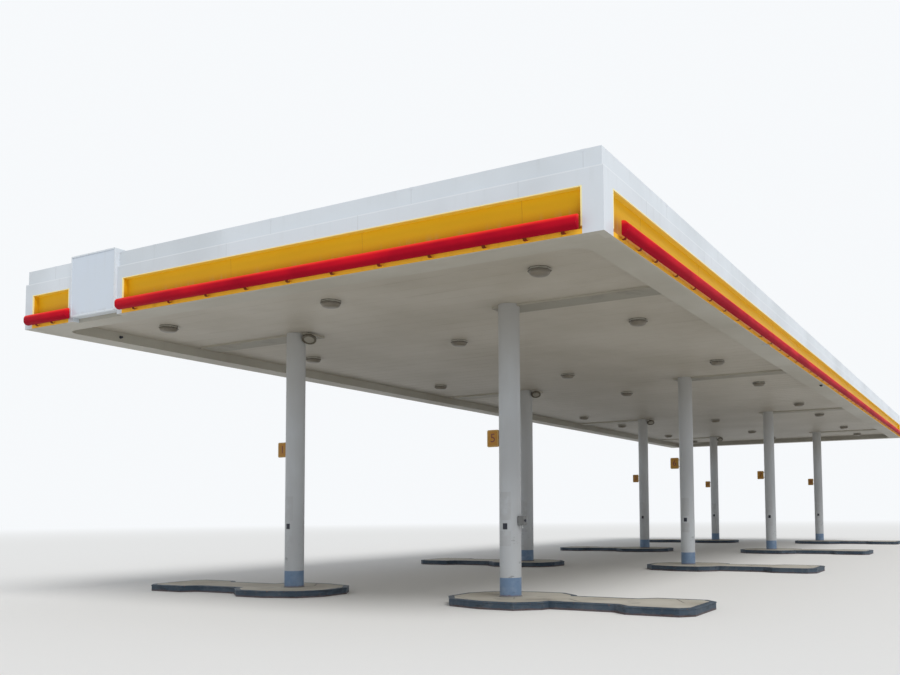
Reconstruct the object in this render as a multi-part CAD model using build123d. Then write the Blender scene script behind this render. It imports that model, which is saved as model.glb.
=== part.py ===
from build123d import *
import math
import os

os.makedirs("parts", exist_ok=True)

# Filling station canopy, in millimetres. X runs across the canopy, Y along it, Z up.
# The origin is on the ground at the middle of the plan.

# Plan of the roof and of the columns
foot = 304.8
roof_width = 11050
roof_length = 34040
line_spacing = 30 * foot
line_count = 4
row_offset = 2350

# Heights: the underside stands above the ground, the rest rises from it step by step
clearance = 4750
soffit_rise = 180
lip_height = 62
cove_height = 523
lower_panel_height = 205
upper_panel_height = 237

# Columns: 14 inch pipe with a painted foot
column_diameter = 355.6
column_wall = 9.5
cap_plate_size = 460
cap_plate_thickness = 20
column_inner_sides = 12

# Islands: a bulb round the column, a waist for the pump and a rounded outer end
island_height = 120
kerb_width = 90
kerb_chamfer = 12
island_inner_end = 1340
island_nose_half_width = 300
nose_shoulder = (1620, 700)
bulb_start = 2280
bulb_half_width = 900
bulb_end = 2900
neck = (3250, 610)
waist_half_width = 480
waist_start = 3300
waist_end = 4390
lobe_half_width = 680
lobe_start = 4630
lobe_corner = 180
island_outer_end = 5630
round_hole_sides = 16

# Roof steel
beam_depth = 410
beam_flange_width = 180
beam_flange_thickness = 16
beam_web = 10
purlin_depth = 260
purlin_flange_width = 100
purlin_flange_thickness = 9
purlin_web = 7
purlin_rows = 4
stiffener_thickness = 10
stiffener_inset = 40
stiffener_margin = 6

# Deck pans, hung under the steel with their ribs up
pan_count = 84
pan_sheet = 5
pan_rib_height = 75
pan_rib_thickness = 10
plate_clearance = 10

# Edge of the roof: a closed band under the gutter, then a step up to the soffit
edge_band_width = 450
band_corner_radius = 260
band_corner_chords = 5
band_sheet = 5
gutter_height = 130
gutter_sheet = 4
cover_width = 480
cover_near_edge = -40
cover_drop = 35
cover_sheet = 4
cover_column_overlap = 310
cover_end_gap = 175
gutter_lift = 20
gutter_lip = 30
gutter_fascia_gap = 8

# Fascia section, as distances out from the face plane of the lower white panel
fascia_sheet = 6
upper_setback = 30
upper_return = 130
upper_return_depth = 60
panel_return = 60
cove_depth_top = 90
cove_depth_bottom = 106
cove_turn = 146
cove_front_edge = 14
cove_head = 12
cove_end_width = 20
lip_return = 40
corner_block_width = 280
front_west_block_width = 200
corner_block_depth = 112
post_wall = 8

# Light bar that stands in front of the cove
bar_back = 60
bar_front = 145
bar_drop = 20
bar_height = 175
bar_wall = 4
bar_rounding = 0.8
bar_overrun = 15
bar_end_inset = 14
bar_side_inset = 100
bracket_spacing = 812.8
bracket_corner_places = (225, 740, 1325)
bracket_sign_places = (365,)
bracket_width = 50
bracket_sheet = 6
bracket_rise = 26
bracket_foot_length = 14
bracket_bend = 20

# Sign cabinet on the front
sign_width = 1120
sign_inset = 1885
sign_lift = 66
sign_rise = 63
sign_proud = 52
sign_depth = 250
sign_block_width = 1360
sign_frame = 24
sign_rim_depth = 8
sign_wall = 5
sign_corner = 14

# Small fittings
light_diameter = 350
light_sides = 8
light_drop = 70
light_rim = 24
light_taper = 40
light_offsets = ((-1700, 2090), (-2110, 1800), (-2070, 1530), (-2090, 1700))
light_edge_gap = 1245
speaker_diameter = 290
speaker_drop = 140
speaker_offset = 320
flag_width = 220
flag_height = 285
flag_thickness = 22
flag_bottom = 2575
flag_gap = 30
flag_corner = 18
flag_arm_inset = 60
stop_box_size = (90, 140, 150)
stop_box_bottom = 1275
stay_spacing = 2440
stay_section = 38
stay_thickness = 5
stay_end_gap = 700
stay_foot = 110
stay_margin = 20

# Clearances
seat_gap = 0.3
trim_gap = 0.6

base_align = (Align.CENTER, Align.CENTER, Align.MIN)
half_width = roof_width / 2
half_length = roof_length / 2
line_ys = [(i - (line_count - 1) / 2) * line_spacing for i in range(line_count)]
lip_top = clearance + lip_height
cove_top = lip_top + cove_height
ledge_height = cove_top + lower_panel_height
fascia_top = ledge_height + upper_panel_height
soffit_height = clearance + soffit_rise
bar_bottom = lip_top - bar_drop
bar_top = bar_bottom + bar_height
sign_bottom = clearance + sign_lift
sign_top = fascia_top + sign_rise
sign_centre = sign_inset - half_width
steel_bottom = soffit_height + pan_rib_height + pan_sheet
column_radius = column_diameter / 2
inner_half_width = half_width - edge_band_width
inner_half_length = half_length - edge_band_width
sides = {
    "front": ((0, -1), half_length, half_width),
    "back": ((0, 1), half_length, half_width),
    "east": ((1, 0), half_width, half_length),
    "west": ((-1, 0), half_width, half_length),
}


def save(name, solids):
    """Write one node, from one solid or from several that don't touch."""
    solids = list(solids) if isinstance(solids, (list, tuple)) else [solids]
    body = solids[0] if len(solids) == 1 else Compound(children=solids)
    export_step(body, f"parts/{name}.step")


def side_plane(side):
    """Plane of a fascia side: x points out from the face plane, y up."""
    (nx, ny), distance, _ = sides[side]
    outward = Vector(nx, ny, 0)
    return Plane(origin=outward * distance, x_dir=outward, z_dir=outward.cross(Vector(0, 0, 1)))


def along_side(section, side, start, stop):
    """Extrude a section along one side, from start to stop in that side's own direction."""
    plane = side_plane(side)
    moved = plane.location * Pos(0, 0, start) * section
    return extrude(moved, amount=stop - start, dir=plane.z_dir)


def polygon(*points):
    """A flat face through the given points."""
    return make_face(Polyline(*points, close=True))


def block(x0, x1, y0, y1, z0, z1):
    """A box between two corners."""
    size = (x1 - x0, y1 - y0, z1 - z0)
    return Pos((x0 + x1) / 2, (y0 + y1) / 2, (z0 + z1) / 2) * Box(*size)


def column(x, y):
    """A pipe from the ground up to its cap plate."""
    height = steel_bottom - cap_plate_thickness - seat_gap
    bore = extrude(RegularPolygon(column_radius - column_wall, column_inner_sides), amount=height)
    tube = Cylinder(column_radius, height) - Pos(0, 0, -height / 2) * bore
    return Pos(x, y, height / 2) * tube


def cap_plate(x, y):
    """The plate welded on a column, on which the main beam sits."""
    plate = Box(cap_plate_size, cap_plate_size, cap_plate_thickness)
    return Pos(x, y, steel_bottom - cap_plate_thickness / 2) * plate


def round_hole():
    """Many-sided hole that clears a column by the seat gap all round."""
    clear = (column_radius + seat_gap) / math.cos(math.pi / round_hole_sides)
    return RegularPolygon(clear, round_hole_sides)


def island_outline():
    """Plan of an island on the +X side, from its inner end to its rounded outer end."""
    upper = [
        (island_inner_end, island_nose_half_width),
        nose_shoulder,
        (bulb_start, bulb_half_width),
        (bulb_end, bulb_half_width),
        neck,
        (waist_start, waist_half_width),
        (waist_end, waist_half_width),
        (lobe_start, lobe_half_width),
        (island_outer_end - lobe_corner, lobe_half_width),
        (island_outer_end, lobe_half_width - lobe_corner),
    ]
    lower = [(x, -y) for x, y in reversed(upper)]
    return polygon(*upper, *lower)


def island(x_sign, y, part):
    """One island: part is "kerb" for the steel form round it or "slab" for its concrete."""
    if part == "kerb":
        outer = extrude(island_outline(), amount=island_height)
        outer = chamfer(outer.edges().group_by(Axis.Z)[-1], kerb_chamfer)
        inner = offset(island_outline(), amount=-kerb_width, kind=Kind.INTERSECTION)
        solid = outer - extrude(inner, amount=island_height)
    else:
        plan = offset(island_outline(), amount=-kerb_width - seat_gap, kind=Kind.INTERSECTION)
        plan -= Pos(row_offset, 0) * round_hole()
        solid = extrude(plan, amount=island_height)
    turn = 0 if x_sign > 0 else 180
    return Pos(0, y, 0) * Rot(0, 0, turn) * solid


def i_section(depth, width, flange, web):
    """An I section standing on y = 0, centred on x = 0."""
    shape = Pos(0, flange / 2) * Rectangle(width, flange)
    shape += Pos(0, depth - flange / 2) * Rectangle(width, flange)
    shape += Pos(0, depth / 2) * Rectangle(web, depth)
    return shape


def main_beam(y):
    """Cross beam over a pair of columns, its ends cut down to the edge beams."""
    reach = inner_half_width - purlin_flange_width - trim_gap
    section = i_section(beam_depth, beam_flange_width, beam_flange_thickness, beam_web)
    plane = Plane(origin=(-reach, y, steel_bottom + seat_gap), x_dir=(0, 1, 0), z_dir=(1, 0, 0))
    beam = extrude(plane.location * section, amount=2 * reach, dir=(1, 0, 0))
    plates = []
    for x in (-row_offset, row_offset):
        for shift in (stiffener_inset - column_radius, column_radius - stiffener_inset):
            half = beam_flange_width / 2 - stiffener_margin
            z0 = steel_bottom + seat_gap
            plates.append(block(
                x + shift - stiffener_thickness / 2, x + shift + stiffener_thickness / 2, y - half, y + half,
                z0 + beam_flange_thickness / 2, z0 + beam_depth - beam_flange_thickness / 2))
    for plate in plates:
        beam += plate
    return beam


def bay_ends():
    """Y ranges between the main beams and out to both ends of the deck."""
    stops = [-inner_half_length] + line_ys + [inner_half_length]
    return list(zip(stops[:-1], stops[1:]))


def purlin(x, y0, y1):
    """Lengthwise joist between two main beams."""
    section = i_section(purlin_depth, purlin_flange_width, purlin_flange_thickness, purlin_web)
    plane = Plane(origin=(x, y0, steel_bottom + seat_gap), x_dir=(1, 0, 0), z_dir=(0, -1, 0))
    shape = plane.location * section
    return extrude(shape, amount=y1 - y0, dir=(0, 1, 0))


def purlin_spans():
    """Purlin lengths, held clear of the beam webs and running out to the edge."""
    spans = []
    for low, high in bay_ends():
        low_gap = beam_flange_width / 2 if low in line_ys else purlin_flange_width
        high_gap = beam_flange_width / 2 if high in line_ys else purlin_flange_width
        spans.append((low + low_gap + trim_gap, high - high_gap - trim_gap))
    return spans


def deck_bay(y0, y1):
    """A run of roof pans: flat sheet under upright ribs, cut round the columns."""
    pitch = 2 * inner_half_length / pan_count
    first = round((y0 + inner_half_length) / pitch)
    last = round((y1 + inner_half_length) / pitch)
    start = -inner_half_length + first * pitch + trim_gap / 2
    stop = -inner_half_length + last * pitch - trim_gap / 2
    low = soffit_height
    high = soffit_height + pan_sheet
    crest = high + pan_rib_height - seat_gap
    points = [(start, low), (stop, low)]
    for n in range(last, first - 1, -1):
        centre = -inner_half_length + n * pitch
        right = min(centre + pan_rib_thickness / 2, stop)
        left = max(centre - pan_rib_thickness / 2, start)
        points += [(right, high), (right, crest), (left, crest), (left, high)]
    points = [p for i, p in enumerate(points) if i == 0 or p != points[i - 1]]
    section = polygon(*points)
    reach = inner_half_width - seat_gap
    plane = Plane(origin=(-reach, 0, 0), x_dir=(0, 1, 0), z_dir=(1, 0, 0))
    deck = extrude(plane.location * section, amount=2 * reach, dir=(1, 0, 0))
    half = cap_plate_size / 2 + plate_clearance
    for y in line_ys:
        if start - 2 * half < y < stop + 2 * half:
            for x in (-row_offset, row_offset):
                deck -= Pos(x, y, low - 1) * extrude(round_hole(), amount=pan_sheet + 2)
                deck -= block(x - half, x + half, y - half, y + half, high, high + 2 * pan_rib_height)
    return deck


def gutter(x_sign):
    """Open channel that takes the water from the ends of the pans."""
    outer = half_width - corner_block_depth - gutter_fascia_gap
    inner = inner_half_width + band_sheet + trim_gap
    floor = clearance + band_sheet + gutter_lift
    top = floor + gutter_height
    reach = inner_half_length - trim_gap
    t = gutter_sheet
    section = polygon(
        (inner, top), (inner, floor), (outer, floor), (outer, top + gutter_lip),
        (outer - t, top + gutter_lip), (outer - t, floor + t), (inner + t, floor + t), (inner + t, top))
    plane = Plane(origin=(0, reach, 0), x_dir=(1, 0, 0), z_dir=(0, -1, 0))
    trough = extrude(plane.location * section, amount=2 * reach, dir=(0, -1, 0))
    return trough if x_sign > 0 else Rot(0, 0, 180) * trough


def beam_cover(x_sign, y):
    """Shallow tray under a main beam, from the column out towards the edge band."""
    z1 = soffit_height - seat_gap
    z0 = soffit_height - cover_drop
    x0 = row_offset - cover_column_overlap
    x1 = inner_half_width - cover_end_gap
    y0 = cover_near_edge
    y1 = cover_near_edge + cover_width
    t = cover_sheet
    tray = block(x0, x1, y0, y1, z0, z1)
    tray -= block(x0 + t, x1 - t, y0 + t, y1 - t, z0 + t, z1 + 1)
    tray -= Pos(row_offset, 0, z0 - 1) * extrude(round_hole(), amount=cover_drop + 2)
    if x_sign < 0:
        tray = mirror(tray, about=Plane.YZ)
    return Pos(0, y, 0) * tray


def edge_band(side):
    """Closed band under the gutter with the step up to the soffit, cut round the corner posts."""
    _, _, half = sides[side]
    t = band_sheet
    start = -corner_block_depth - trim_gap
    inner = -edge_band_width
    top = soffit_height - seat_gap
    section = polygon(
        (start, clearance), (inner, clearance), (inner, top), (inner + t, top),
        (inner + t, clearance + t), (start, clearance + t))
    if side in ("front", "back"):
        reach = half + start - trim_gap
    else:
        reach = half - edge_band_width - trim_gap
    band = along_side(section, side, -reach, reach)
    low = (-lip_return - trim_gap, clearance)
    strip = polygon(low, (start, clearance), (start, clearance + t), (low[0], clearance + t))
    for a, b in runs(side):
        band += along_side(strip, side, a + cove_end_width + trim_gap, b - cove_end_width - trim_gap)
    if side == "front":
        rise = sign_bottom - trim_gap
        closure = polygon((start, clearance), (start, rise), (start - t, rise), (start - t, clearance))
        middle = -sign_centre
        band += along_side(closure, side, middle - sign_width / 2, middle + sign_width / 2)
    return band


def band_corner(x_sign, y_sign):
    """Rounded filling of an inner corner of the edge band, with its own step up to the soffit."""
    r = band_corner_radius
    t = band_sheet
    angles = [math.pi / 2 * i / band_corner_chords for i in range(band_corner_chords + 1)]
    arc = [(r * math.cos(a) - r, r * math.sin(a) - r) for a in angles]
    arc_back = [((r + t) * math.cos(a) - r, (r + t) * math.sin(a) - r) for a in angles[1:-1]]
    plate = extrude(polygon(*arc, (0, 0)), amount=t)
    wall = extrude(polygon(*arc, (-r + t, 0), *reversed(arc_back), (0, -r + t)),
                   amount=soffit_height - clearance - seat_gap)
    corner = plate + wall
    if x_sign < 0:
        corner = mirror(corner, about=Plane.YZ)
    if y_sign < 0:
        corner = mirror(corner, about=Plane.XZ)
    x = x_sign * (inner_half_width - seat_gap)
    y = y_sign * (inner_half_length - seat_gap)
    return Pos(x, y, clearance) * corner


def upper_section():
    """White upper strip with its coping turned in at the top."""
    t = fascia_sheet
    face = -upper_setback
    back = face - upper_return
    low = ledge_height + seat_gap
    fold = fascia_top - upper_return_depth
    return polygon(
        (face, low), (face, fascia_top), (back, fascia_top), (back, fold), (back + t, fold),
        (back + t, fascia_top - t), (face - t, fascia_top - t), (face - t, low))


def upper_strip(side):
    """Upper strip of one side. Those of the front and back close the corners with folded ends."""
    face = -upper_setback
    back = face - upper_return
    reach = sides[side][2] - upper_setback
    if side in ("east", "west"):
        reach -= upper_return + trim_gap
        return along_side(upper_section(), side, -reach, reach)
    strip = along_side(upper_section(), side, -reach, reach)
    low = ledge_height + seat_gap
    end = polygon((face, low), (face, fascia_top), (back, fascia_top), (back, low))
    strip += along_side(end, side, -reach, fascia_sheet - reach)
    strip += along_side(end, side, reach - fascia_sheet, reach)
    return strip


def lower_section():
    """White lower panel, folded back at the ledge and over the cove."""
    t = fascia_sheet
    return polygon(
        (-corner_block_depth, cove_top), (0, cove_top), (0, ledge_height), (-panel_return, ledge_height),
        (-panel_return, ledge_height - t), (-t, ledge_height - t), (-t, cove_top + t),
        (-corner_block_depth, cove_top + t))


def cove_section():
    """Concave yellow recess with a flat head above, that ends below in a square lip."""
    t = fascia_sheet
    turn = lip_top + cove_turn
    low = lip_top
    edge = -cove_front_edge
    top = cove_top - seat_gap
    head = top - cove_head
    start = Vector(-cove_depth_top, head)
    bend = Vector(-cove_depth_bottom, turn)
    end = Vector(edge, low)
    lean = bend - start
    face_line = Line(start, bend)
    face_arc = TangentArc(bend, end, tangent=lean)
    back_start = Vector(-cove_depth_top - t, top)
    back_bend = bend - Vector(t, 0)
    back_end = Vector(edge - t, low - t)
    back_arc = TangentArc(back_bend, back_end, tangent=lean)
    lip = Polyline(
        end, (0, low), (0, clearance), (-lip_return, clearance), (-lip_return, clearance + t),
        (-t, clearance + t), (-t, low - t), back_end)
    back = Polyline(back_bend, back_start, (0, top), (0, head), start)
    return make_face([face_line, face_arc, lip, back_arc, back])


def cove_end(side, start, stop):
    """Folded sheet that closes one end of a cove against its white post."""
    section = polygon(
        (0, clearance), (0, cove_top - seat_gap), (-corner_block_depth, cove_top - seat_gap),
        (-corner_block_depth, clearance))
    return along_side(section, side, start, stop)


def cove(side):
    """The coves of one side, each with its two closed ends."""
    pieces = []
    for start, stop in runs(side):
        a = start + cove_end_width
        b = stop - cove_end_width
        pieces.append(cove_end(side, start, a - seat_gap))
        pieces.append(along_side(cove_section(), side, a, b))
        pieces.append(cove_end(side, b + seat_gap, stop))
    return pieces


def corner_block(x_sign, y_sign):
    """White corner post of the fascia, an L in plan with the ledge on top."""
    across = corner_block_width - seat_gap
    along = corner_block_width - seat_gap
    if (x_sign, y_sign) == (-1, -1):
        across = front_west_block_width - seat_gap
    d = corner_block_depth
    t = post_wall
    plan = polygon((0, 0), (across, 0), (across, d), (d, d), (d, along), (0, along))
    post = extrude(plan, amount=ledge_height - clearance)
    inner = polygon(
        (t, t), (across - t, t), (across - t, d - t), (d - t, d - t), (d - t, along - t), (t, along - t))
    post -= Pos(0, 0, t) * extrude(inner, amount=ledge_height - clearance - 2 * t)
    if x_sign > 0:
        post = mirror(post, about=Plane.YZ)
    if y_sign > 0:
        post = mirror(post, about=Plane.XZ)
    return Pos(x_sign * half_width, y_sign * half_length, clearance) * post


def bar_section():
    """Light bar: a hollow section, round in front and flat behind."""
    height = bar_height
    depth = bar_front - bar_back
    middle = Pos((bar_back + bar_front) / 2, (bar_bottom + bar_top) / 2)
    outer = middle * Rectangle(depth, height)
    round_edges = outer.vertices().group_by(Axis.X)[-1]
    cable_space = middle * Rectangle(depth - 4 * bar_wall, height - 4 * bar_wall - depth * bar_rounding)
    return fillet(round_edges, depth * bar_rounding) - cable_space


def bar_ends(side, start, stop):
    """Where a bar starts and ends, from the ends of its recess."""
    if side in ("east", "west"):
        return start + bar_side_inset, stop - bar_side_inset
    if side == "front" and start > -sign_centre:
        to_sign = (sign_block_width - sign_width) / 2 - trim_gap
        return start - to_sign, stop + bar_overrun
    return start + bar_end_inset, stop - bar_end_inset


def light_bar(side, start, stop):
    """One length of the light bar."""
    return along_side(bar_section(), side, start, stop)


def bracket(side, place):
    """Strap that reaches out from the lip of the cove and carries the light bar."""
    foot_top = bar_bottom - seat_gap
    low = foot_top - bracket_rise
    t = bracket_sheet
    reach = bar_back + bracket_foot_length
    bend = reach - bracket_bend
    section = polygon(
        (seat_gap, low), (bend, low), (reach, foot_top), (reach - t, foot_top),
        (bend - t, low + t), (seat_gap, low + t))
    return along_side(section, side, place - bracket_width / 2, place + bracket_width / 2)


def spread(start, stop, spacing):
    """Places from start to stop at about the given spacing."""
    count = max(1, round((stop - start) / spacing))
    return [start + (stop - start) * i / count for i in range(count + 1)]


def bracket_places(side, start, stop):
    """Bracket places along a recess: close together at a corner, then evenly spread."""
    sign_edge = -sign_centre - sign_block_width / 2
    low = high = bracket_corner_places
    if side == "front" and stop < sign_edge + 1:
        high = bracket_sign_places
    if side == "front" and start > sign_edge:
        low = bracket_sign_places
    first = [start + p for p in low]
    last = [stop - p for p in high]
    if last[-1] - first[-1] < bracket_spacing:
        return [start + low[0], stop - high[0]]
    between = spread(first[-1], last[-1], bracket_spacing)
    return first[:-1] + between + last[:-1]


def fascia_stay(side, place):
    """Bent angle that ties the back of the fascia to the edge beam."""
    back = -corner_block_depth - seat_gap
    inner = -edge_band_width - stay_margin
    foot = steel_bottom + purlin_depth + 2 * seat_gap
    s = stay_section
    high = ledge_height - stay_margin
    low = cove_top + stay_margin
    section = polygon(
        (back, low), (back, high), (back - s, high), (inner, foot + s),
        (inner - stay_foot, foot + s), (inner - stay_foot, foot), (inner + s / 3, foot), (back - s, low))
    return along_side(section, side, place - stay_thickness / 2, place + stay_thickness / 2)


def front_runs():
    """Stretches of the front between its corner blocks and the sign's block, along +X."""
    left = sign_centre - sign_block_width / 2
    right = sign_centre + sign_block_width / 2
    west_end = -half_width + front_west_block_width
    east_end = half_width - corner_block_width
    return [(west_end, left), (right, east_end)]


def runs(side):
    """Stretches of one side that carry the cove."""
    _, _, half = sides[side]
    if side == "front":
        return [(-b, -a) for a, b in front_runs()]
    end = half - corner_block_width
    return [(-end, end)]


def sign_posts():
    """White posts on both sides of the sign cabinet, open at the back."""
    posts = []
    inner = sign_width / 2 + seat_gap
    outer = sign_block_width / 2 - seat_gap
    y0 = -half_length
    y1 = y0 + corner_block_depth
    t = post_wall
    for x0, x1 in ((sign_centre - outer, sign_centre - inner), (sign_centre + inner, sign_centre + outer)):
        hollow = block(x0 + t, x1 - t, y0 + t, y1 + 1, clearance + t, ledge_height - t)
        posts.append(block(x0, x1, y0, y1, clearance, ledge_height) - hollow)
    return posts


def sign_cabinet():
    """Sheet cabinet of the sign, with a rim round the face."""
    y0 = -half_length - sign_proud
    y1 = y0 + sign_depth
    x0 = sign_centre - sign_width / 2
    x1 = sign_centre + sign_width / 2
    casing = block(x0, x1, y0, y1, sign_bottom, sign_top)
    casing = fillet(casing.edges().filter_by(Axis.Y), sign_corner)
    inner = block(x0 + sign_wall, x1 - sign_wall, y0 + sign_rim_depth, y1 - sign_wall,
                  sign_bottom + sign_wall, sign_top - sign_wall)
    window = block(x0 + sign_frame, x1 - sign_frame, y0 - 1, y0 + sign_rim_depth + 1,
                   sign_bottom + sign_frame, sign_top - sign_frame)
    return casing - inner - window


def sign_face():
    """Plain translucent face of the sign, held behind the rim."""
    y0 = -half_length - sign_proud + sign_rim_depth + seat_gap
    x0 = sign_centre - sign_width / 2 + sign_wall + seat_gap
    x1 = sign_centre + sign_width / 2 - sign_wall - seat_gap
    z0 = sign_bottom + sign_wall + seat_gap
    z1 = sign_top - sign_wall - seat_gap
    return block(x0, x1, y0, y0 + 5, z0, z1)


def number_flag(x_sign, y):
    """Flat number plate held out from the inner side of a column by two pins."""
    x = row_offset * x_sign - column_radius - flag_gap - flag_width / 2
    plate = Box(flag_width, flag_thickness, flag_height)
    plate = chamfer(plate.edges().filter_by(Axis.Y), flag_corner)
    plate = Pos(x, y, flag_bottom + flag_height / 2) * plate
    for z in (flag_bottom + flag_arm_inset, flag_bottom + flag_height - flag_arm_inset):
        x0 = x + flag_width / 2 - 10
        x1 = x + flag_width / 2 + flag_gap - seat_gap
        plate += block(x0, x1, y - 9, y + 9, z - 9, z + 9)
    return plate


def downlight(x, y):
    """Eight-sided surface luminaire with a tapered skirt."""
    top = soffit_height - seat_gap
    radius = light_diameter / 2
    rim = extrude(RegularPolygon(radius, light_sides), amount=light_rim)
    skirt = extrude(RegularPolygon(radius, light_sides), amount=light_drop - light_rim, taper=light_taper)
    return Pos(x, y, top - light_rim) * (rim + Rot(180, 0, 0) * skirt)


def speaker(y):
    """Eight-sided drum beside a column of the west row, a flat side to the column."""
    plan = RegularPolygon(speaker_diameter / 2, light_sides, rotation=180 / light_sides)
    drum = extrude(plan, amount=speaker_drop)
    top = soffit_height - cover_drop - seat_gap
    return Pos(speaker_offset - row_offset, y, top - speaker_drop) * drum


def stop_box():
    """Small switch box on the outer side of the first east column."""
    sx, sy, sz = stop_box_size
    box = Box(sx, sy, sz)
    box = chamfer(box.edges().filter_by(Axis.X), 8)
    x = row_offset + column_radius + sx / 2 + seat_gap
    y = line_ys[0]
    return Pos(x, y, stop_box_bottom + sz / 2) * box


places = [(sign, y) for sign in (-1, 1) for y in line_ys]
for sign, row in ((-1, "west"), (1, "east")):
    for number, y in enumerate(line_ys, start=1):
        save(f"column_{row}_{number}", column(sign * row_offset, y))
save("column_cap_plates", [cap_plate(s * row_offset, y) for s, y in places])
save("island_kerbs", [island(s, y, "kerb") for s, y in places])
save("island_slabs", [island(s, y, "slab") for s, y in places])

for number, y in enumerate(line_ys, start=1):
    save(f"main_beam_{number}", main_beam(y))
purlin_reach = inner_half_width - purlin_flange_width
purlin_xs = [purlin_reach * (2 * i / (purlin_rows + 1) - 1) for i in range(1, purlin_rows + 1)]
save("purlins", [purlin(x, a, b) for x in purlin_xs for a, b in purlin_spans()])
edge_x = inner_half_width - purlin_flange_width / 2
edge_y = inner_half_length
edge_beams = [purlin(x, -edge_y, edge_y) for x in (-edge_x, edge_x)]
for y_sign in (-1, 1):
    y = y_sign * (edge_y - purlin_flange_width / 2)
    reach = edge_x - purlin_flange_width / 2 - trim_gap
    section = i_section(purlin_depth, purlin_flange_width, purlin_flange_thickness, purlin_web)
    plane = Plane(origin=(-reach, y, steel_bottom + seat_gap), x_dir=(0, 1, 0), z_dir=(1, 0, 0))
    edge_beams.append(extrude(plane.location * section, amount=2 * reach, dir=(1, 0, 0)))
save("edge_beams", edge_beams)
for number, (y0, y1) in enumerate(bay_ends(), start=1):
    save(f"deck_bay_{number}", deck_bay(y0, y1))
save("gutters", [gutter(1), gutter(-1)])
save("beam_covers", [beam_cover(s, y) for s, y in places])
band_corners = [band_corner(sx, sy) for sx in (-1, 1) for sy in (-1, 1)]
save("edge_bands", [edge_band(side) for side in sides] + band_corners)

upper = [upper_strip(side) for side in sides]
slot_half = sign_width / 2 + seat_gap
sign_slot = block(sign_centre - slot_half, sign_centre + slot_half, -half_length,
                  sign_depth - half_length, ledge_height, fascia_top + 1)
upper[0] -= sign_slot
save("fascia_upper", [s for piece in upper for s in piece.solids()])
for side in sides:
    save(f"fascia_lower_{side}", [along_side(lower_section(), side, a, b) for a, b in runs(side)])
    save(f"cove_{side}", cove(side))
corners = [corner_block(sx, sy) for sx in (-1, 1) for sy in (-1, 1)]
save("fascia_corners", corners + sign_posts())

bars = []
brackets = []
for side in sides:
    for a, b in runs(side):
        start, stop = bar_ends(side, a, b)
        bars.append(light_bar(side, start, stop))
        brackets += [bracket(side, p) for p in bracket_places(side, a, b)]
save("light_bars", bars)
save("bar_brackets", brackets)

stays = []
for side, (_, _, half) in sides.items():
    for p in spread(stay_end_gap - half, half - stay_end_gap, stay_spacing):
        if side == "front" and abs(-p - sign_centre) < sign_block_width / 2:
            continue
        stays.append(fascia_stay(side, p))
save("fascia_stays", stays)
save("sign_cabinet", sign_cabinet())
save("sign_face", sign_face())
save("number_flags", [number_flag(s, y) for s, y in places])
light_ys = [y + step for y, steps in zip(line_ys, light_offsets) for step in steps]
light_x = inner_half_width - light_edge_gap
save("downlights", [downlight(x, y) for x in (-light_x, 0, light_x) for y in light_ys])
save("speakers", [speaker(y) for y in line_ys])
save("stop_box", stop_box())
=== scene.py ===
# Filling station canopy: finishes, small parts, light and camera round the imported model.
import bpy
import math
import numpy as np
from mathutils import Matrix, Vector


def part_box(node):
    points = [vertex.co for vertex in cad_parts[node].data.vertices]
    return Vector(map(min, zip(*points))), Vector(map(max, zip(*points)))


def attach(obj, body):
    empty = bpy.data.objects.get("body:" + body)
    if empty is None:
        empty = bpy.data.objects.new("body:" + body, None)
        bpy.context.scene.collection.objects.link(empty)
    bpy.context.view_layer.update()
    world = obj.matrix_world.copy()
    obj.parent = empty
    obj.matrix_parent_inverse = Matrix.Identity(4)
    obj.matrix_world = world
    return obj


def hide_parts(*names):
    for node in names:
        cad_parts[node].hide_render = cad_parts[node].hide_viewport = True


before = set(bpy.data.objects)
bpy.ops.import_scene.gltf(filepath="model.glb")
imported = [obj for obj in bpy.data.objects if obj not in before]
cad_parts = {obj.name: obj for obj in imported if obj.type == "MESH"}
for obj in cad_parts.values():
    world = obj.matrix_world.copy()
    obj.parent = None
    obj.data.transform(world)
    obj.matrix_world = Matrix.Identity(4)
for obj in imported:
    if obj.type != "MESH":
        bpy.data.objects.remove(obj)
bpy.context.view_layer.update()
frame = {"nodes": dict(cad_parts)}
nodes = frame["nodes"]

# What the small parts line up with, in metres
canopy = {
    "halfWidth": 5.525, "halfLength": 17.02, "lines": (-13.716, -4.572, 4.572, 13.716),
    "columnX": 2.35, "columnRadius": 0.1778, "footPaint": 0.431, "islandTop": 0.12,
    "innerX": 5.075, "innerY": 16.57, "pans": 84, "purlinReach": 4.975,
    "bottom": 4.75, "soffit": 4.93, "steel": 5.0103, "setback": 0.03,
    "lipTop": 4.812, "barBottom": 4.792, "barTop": 4.967, "coveTop": 5.335, "ledge": 5.54, "top": 5.777,
    "lampFlange": 0.006, "lampCollar": 0.034,
}
sign = {"left": -4.2, "right": -3.08, "blockLeft": -4.32, "blockRight": -2.96, "bottom": 4.816, "top": 5.84,
        "face": -17.072}
halfX = canopy["halfWidth"]
halfY = canopy["halfLength"]
lineYs = np.array(canopy["lines"])
columnSpots = [(s * canopy["columnX"], y) for s in (-1, 1) for y in lineYs]
panPitch = 2 * canopy["innerY"] / canopy["pans"]
panJointYs = -canopy["innerY"] + panPitch * np.arange(1, canopy["pans"])
purlinXs = canopy["purlinReach"] * np.array([-0.6, -0.2, 0.2, 0.6])


# The camera comes first: it stands where the photograph was taken
view = {
    "place": (9.478, -26.144, 1.487), "yaw": 0.4853, "pitch": 0.06321, "roll": -0.00882,
    "sensor": 36, "lens": 34.81, "shiftX": -0.1007, "shiftY": 0.1327, "farthest": 600,
}


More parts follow.
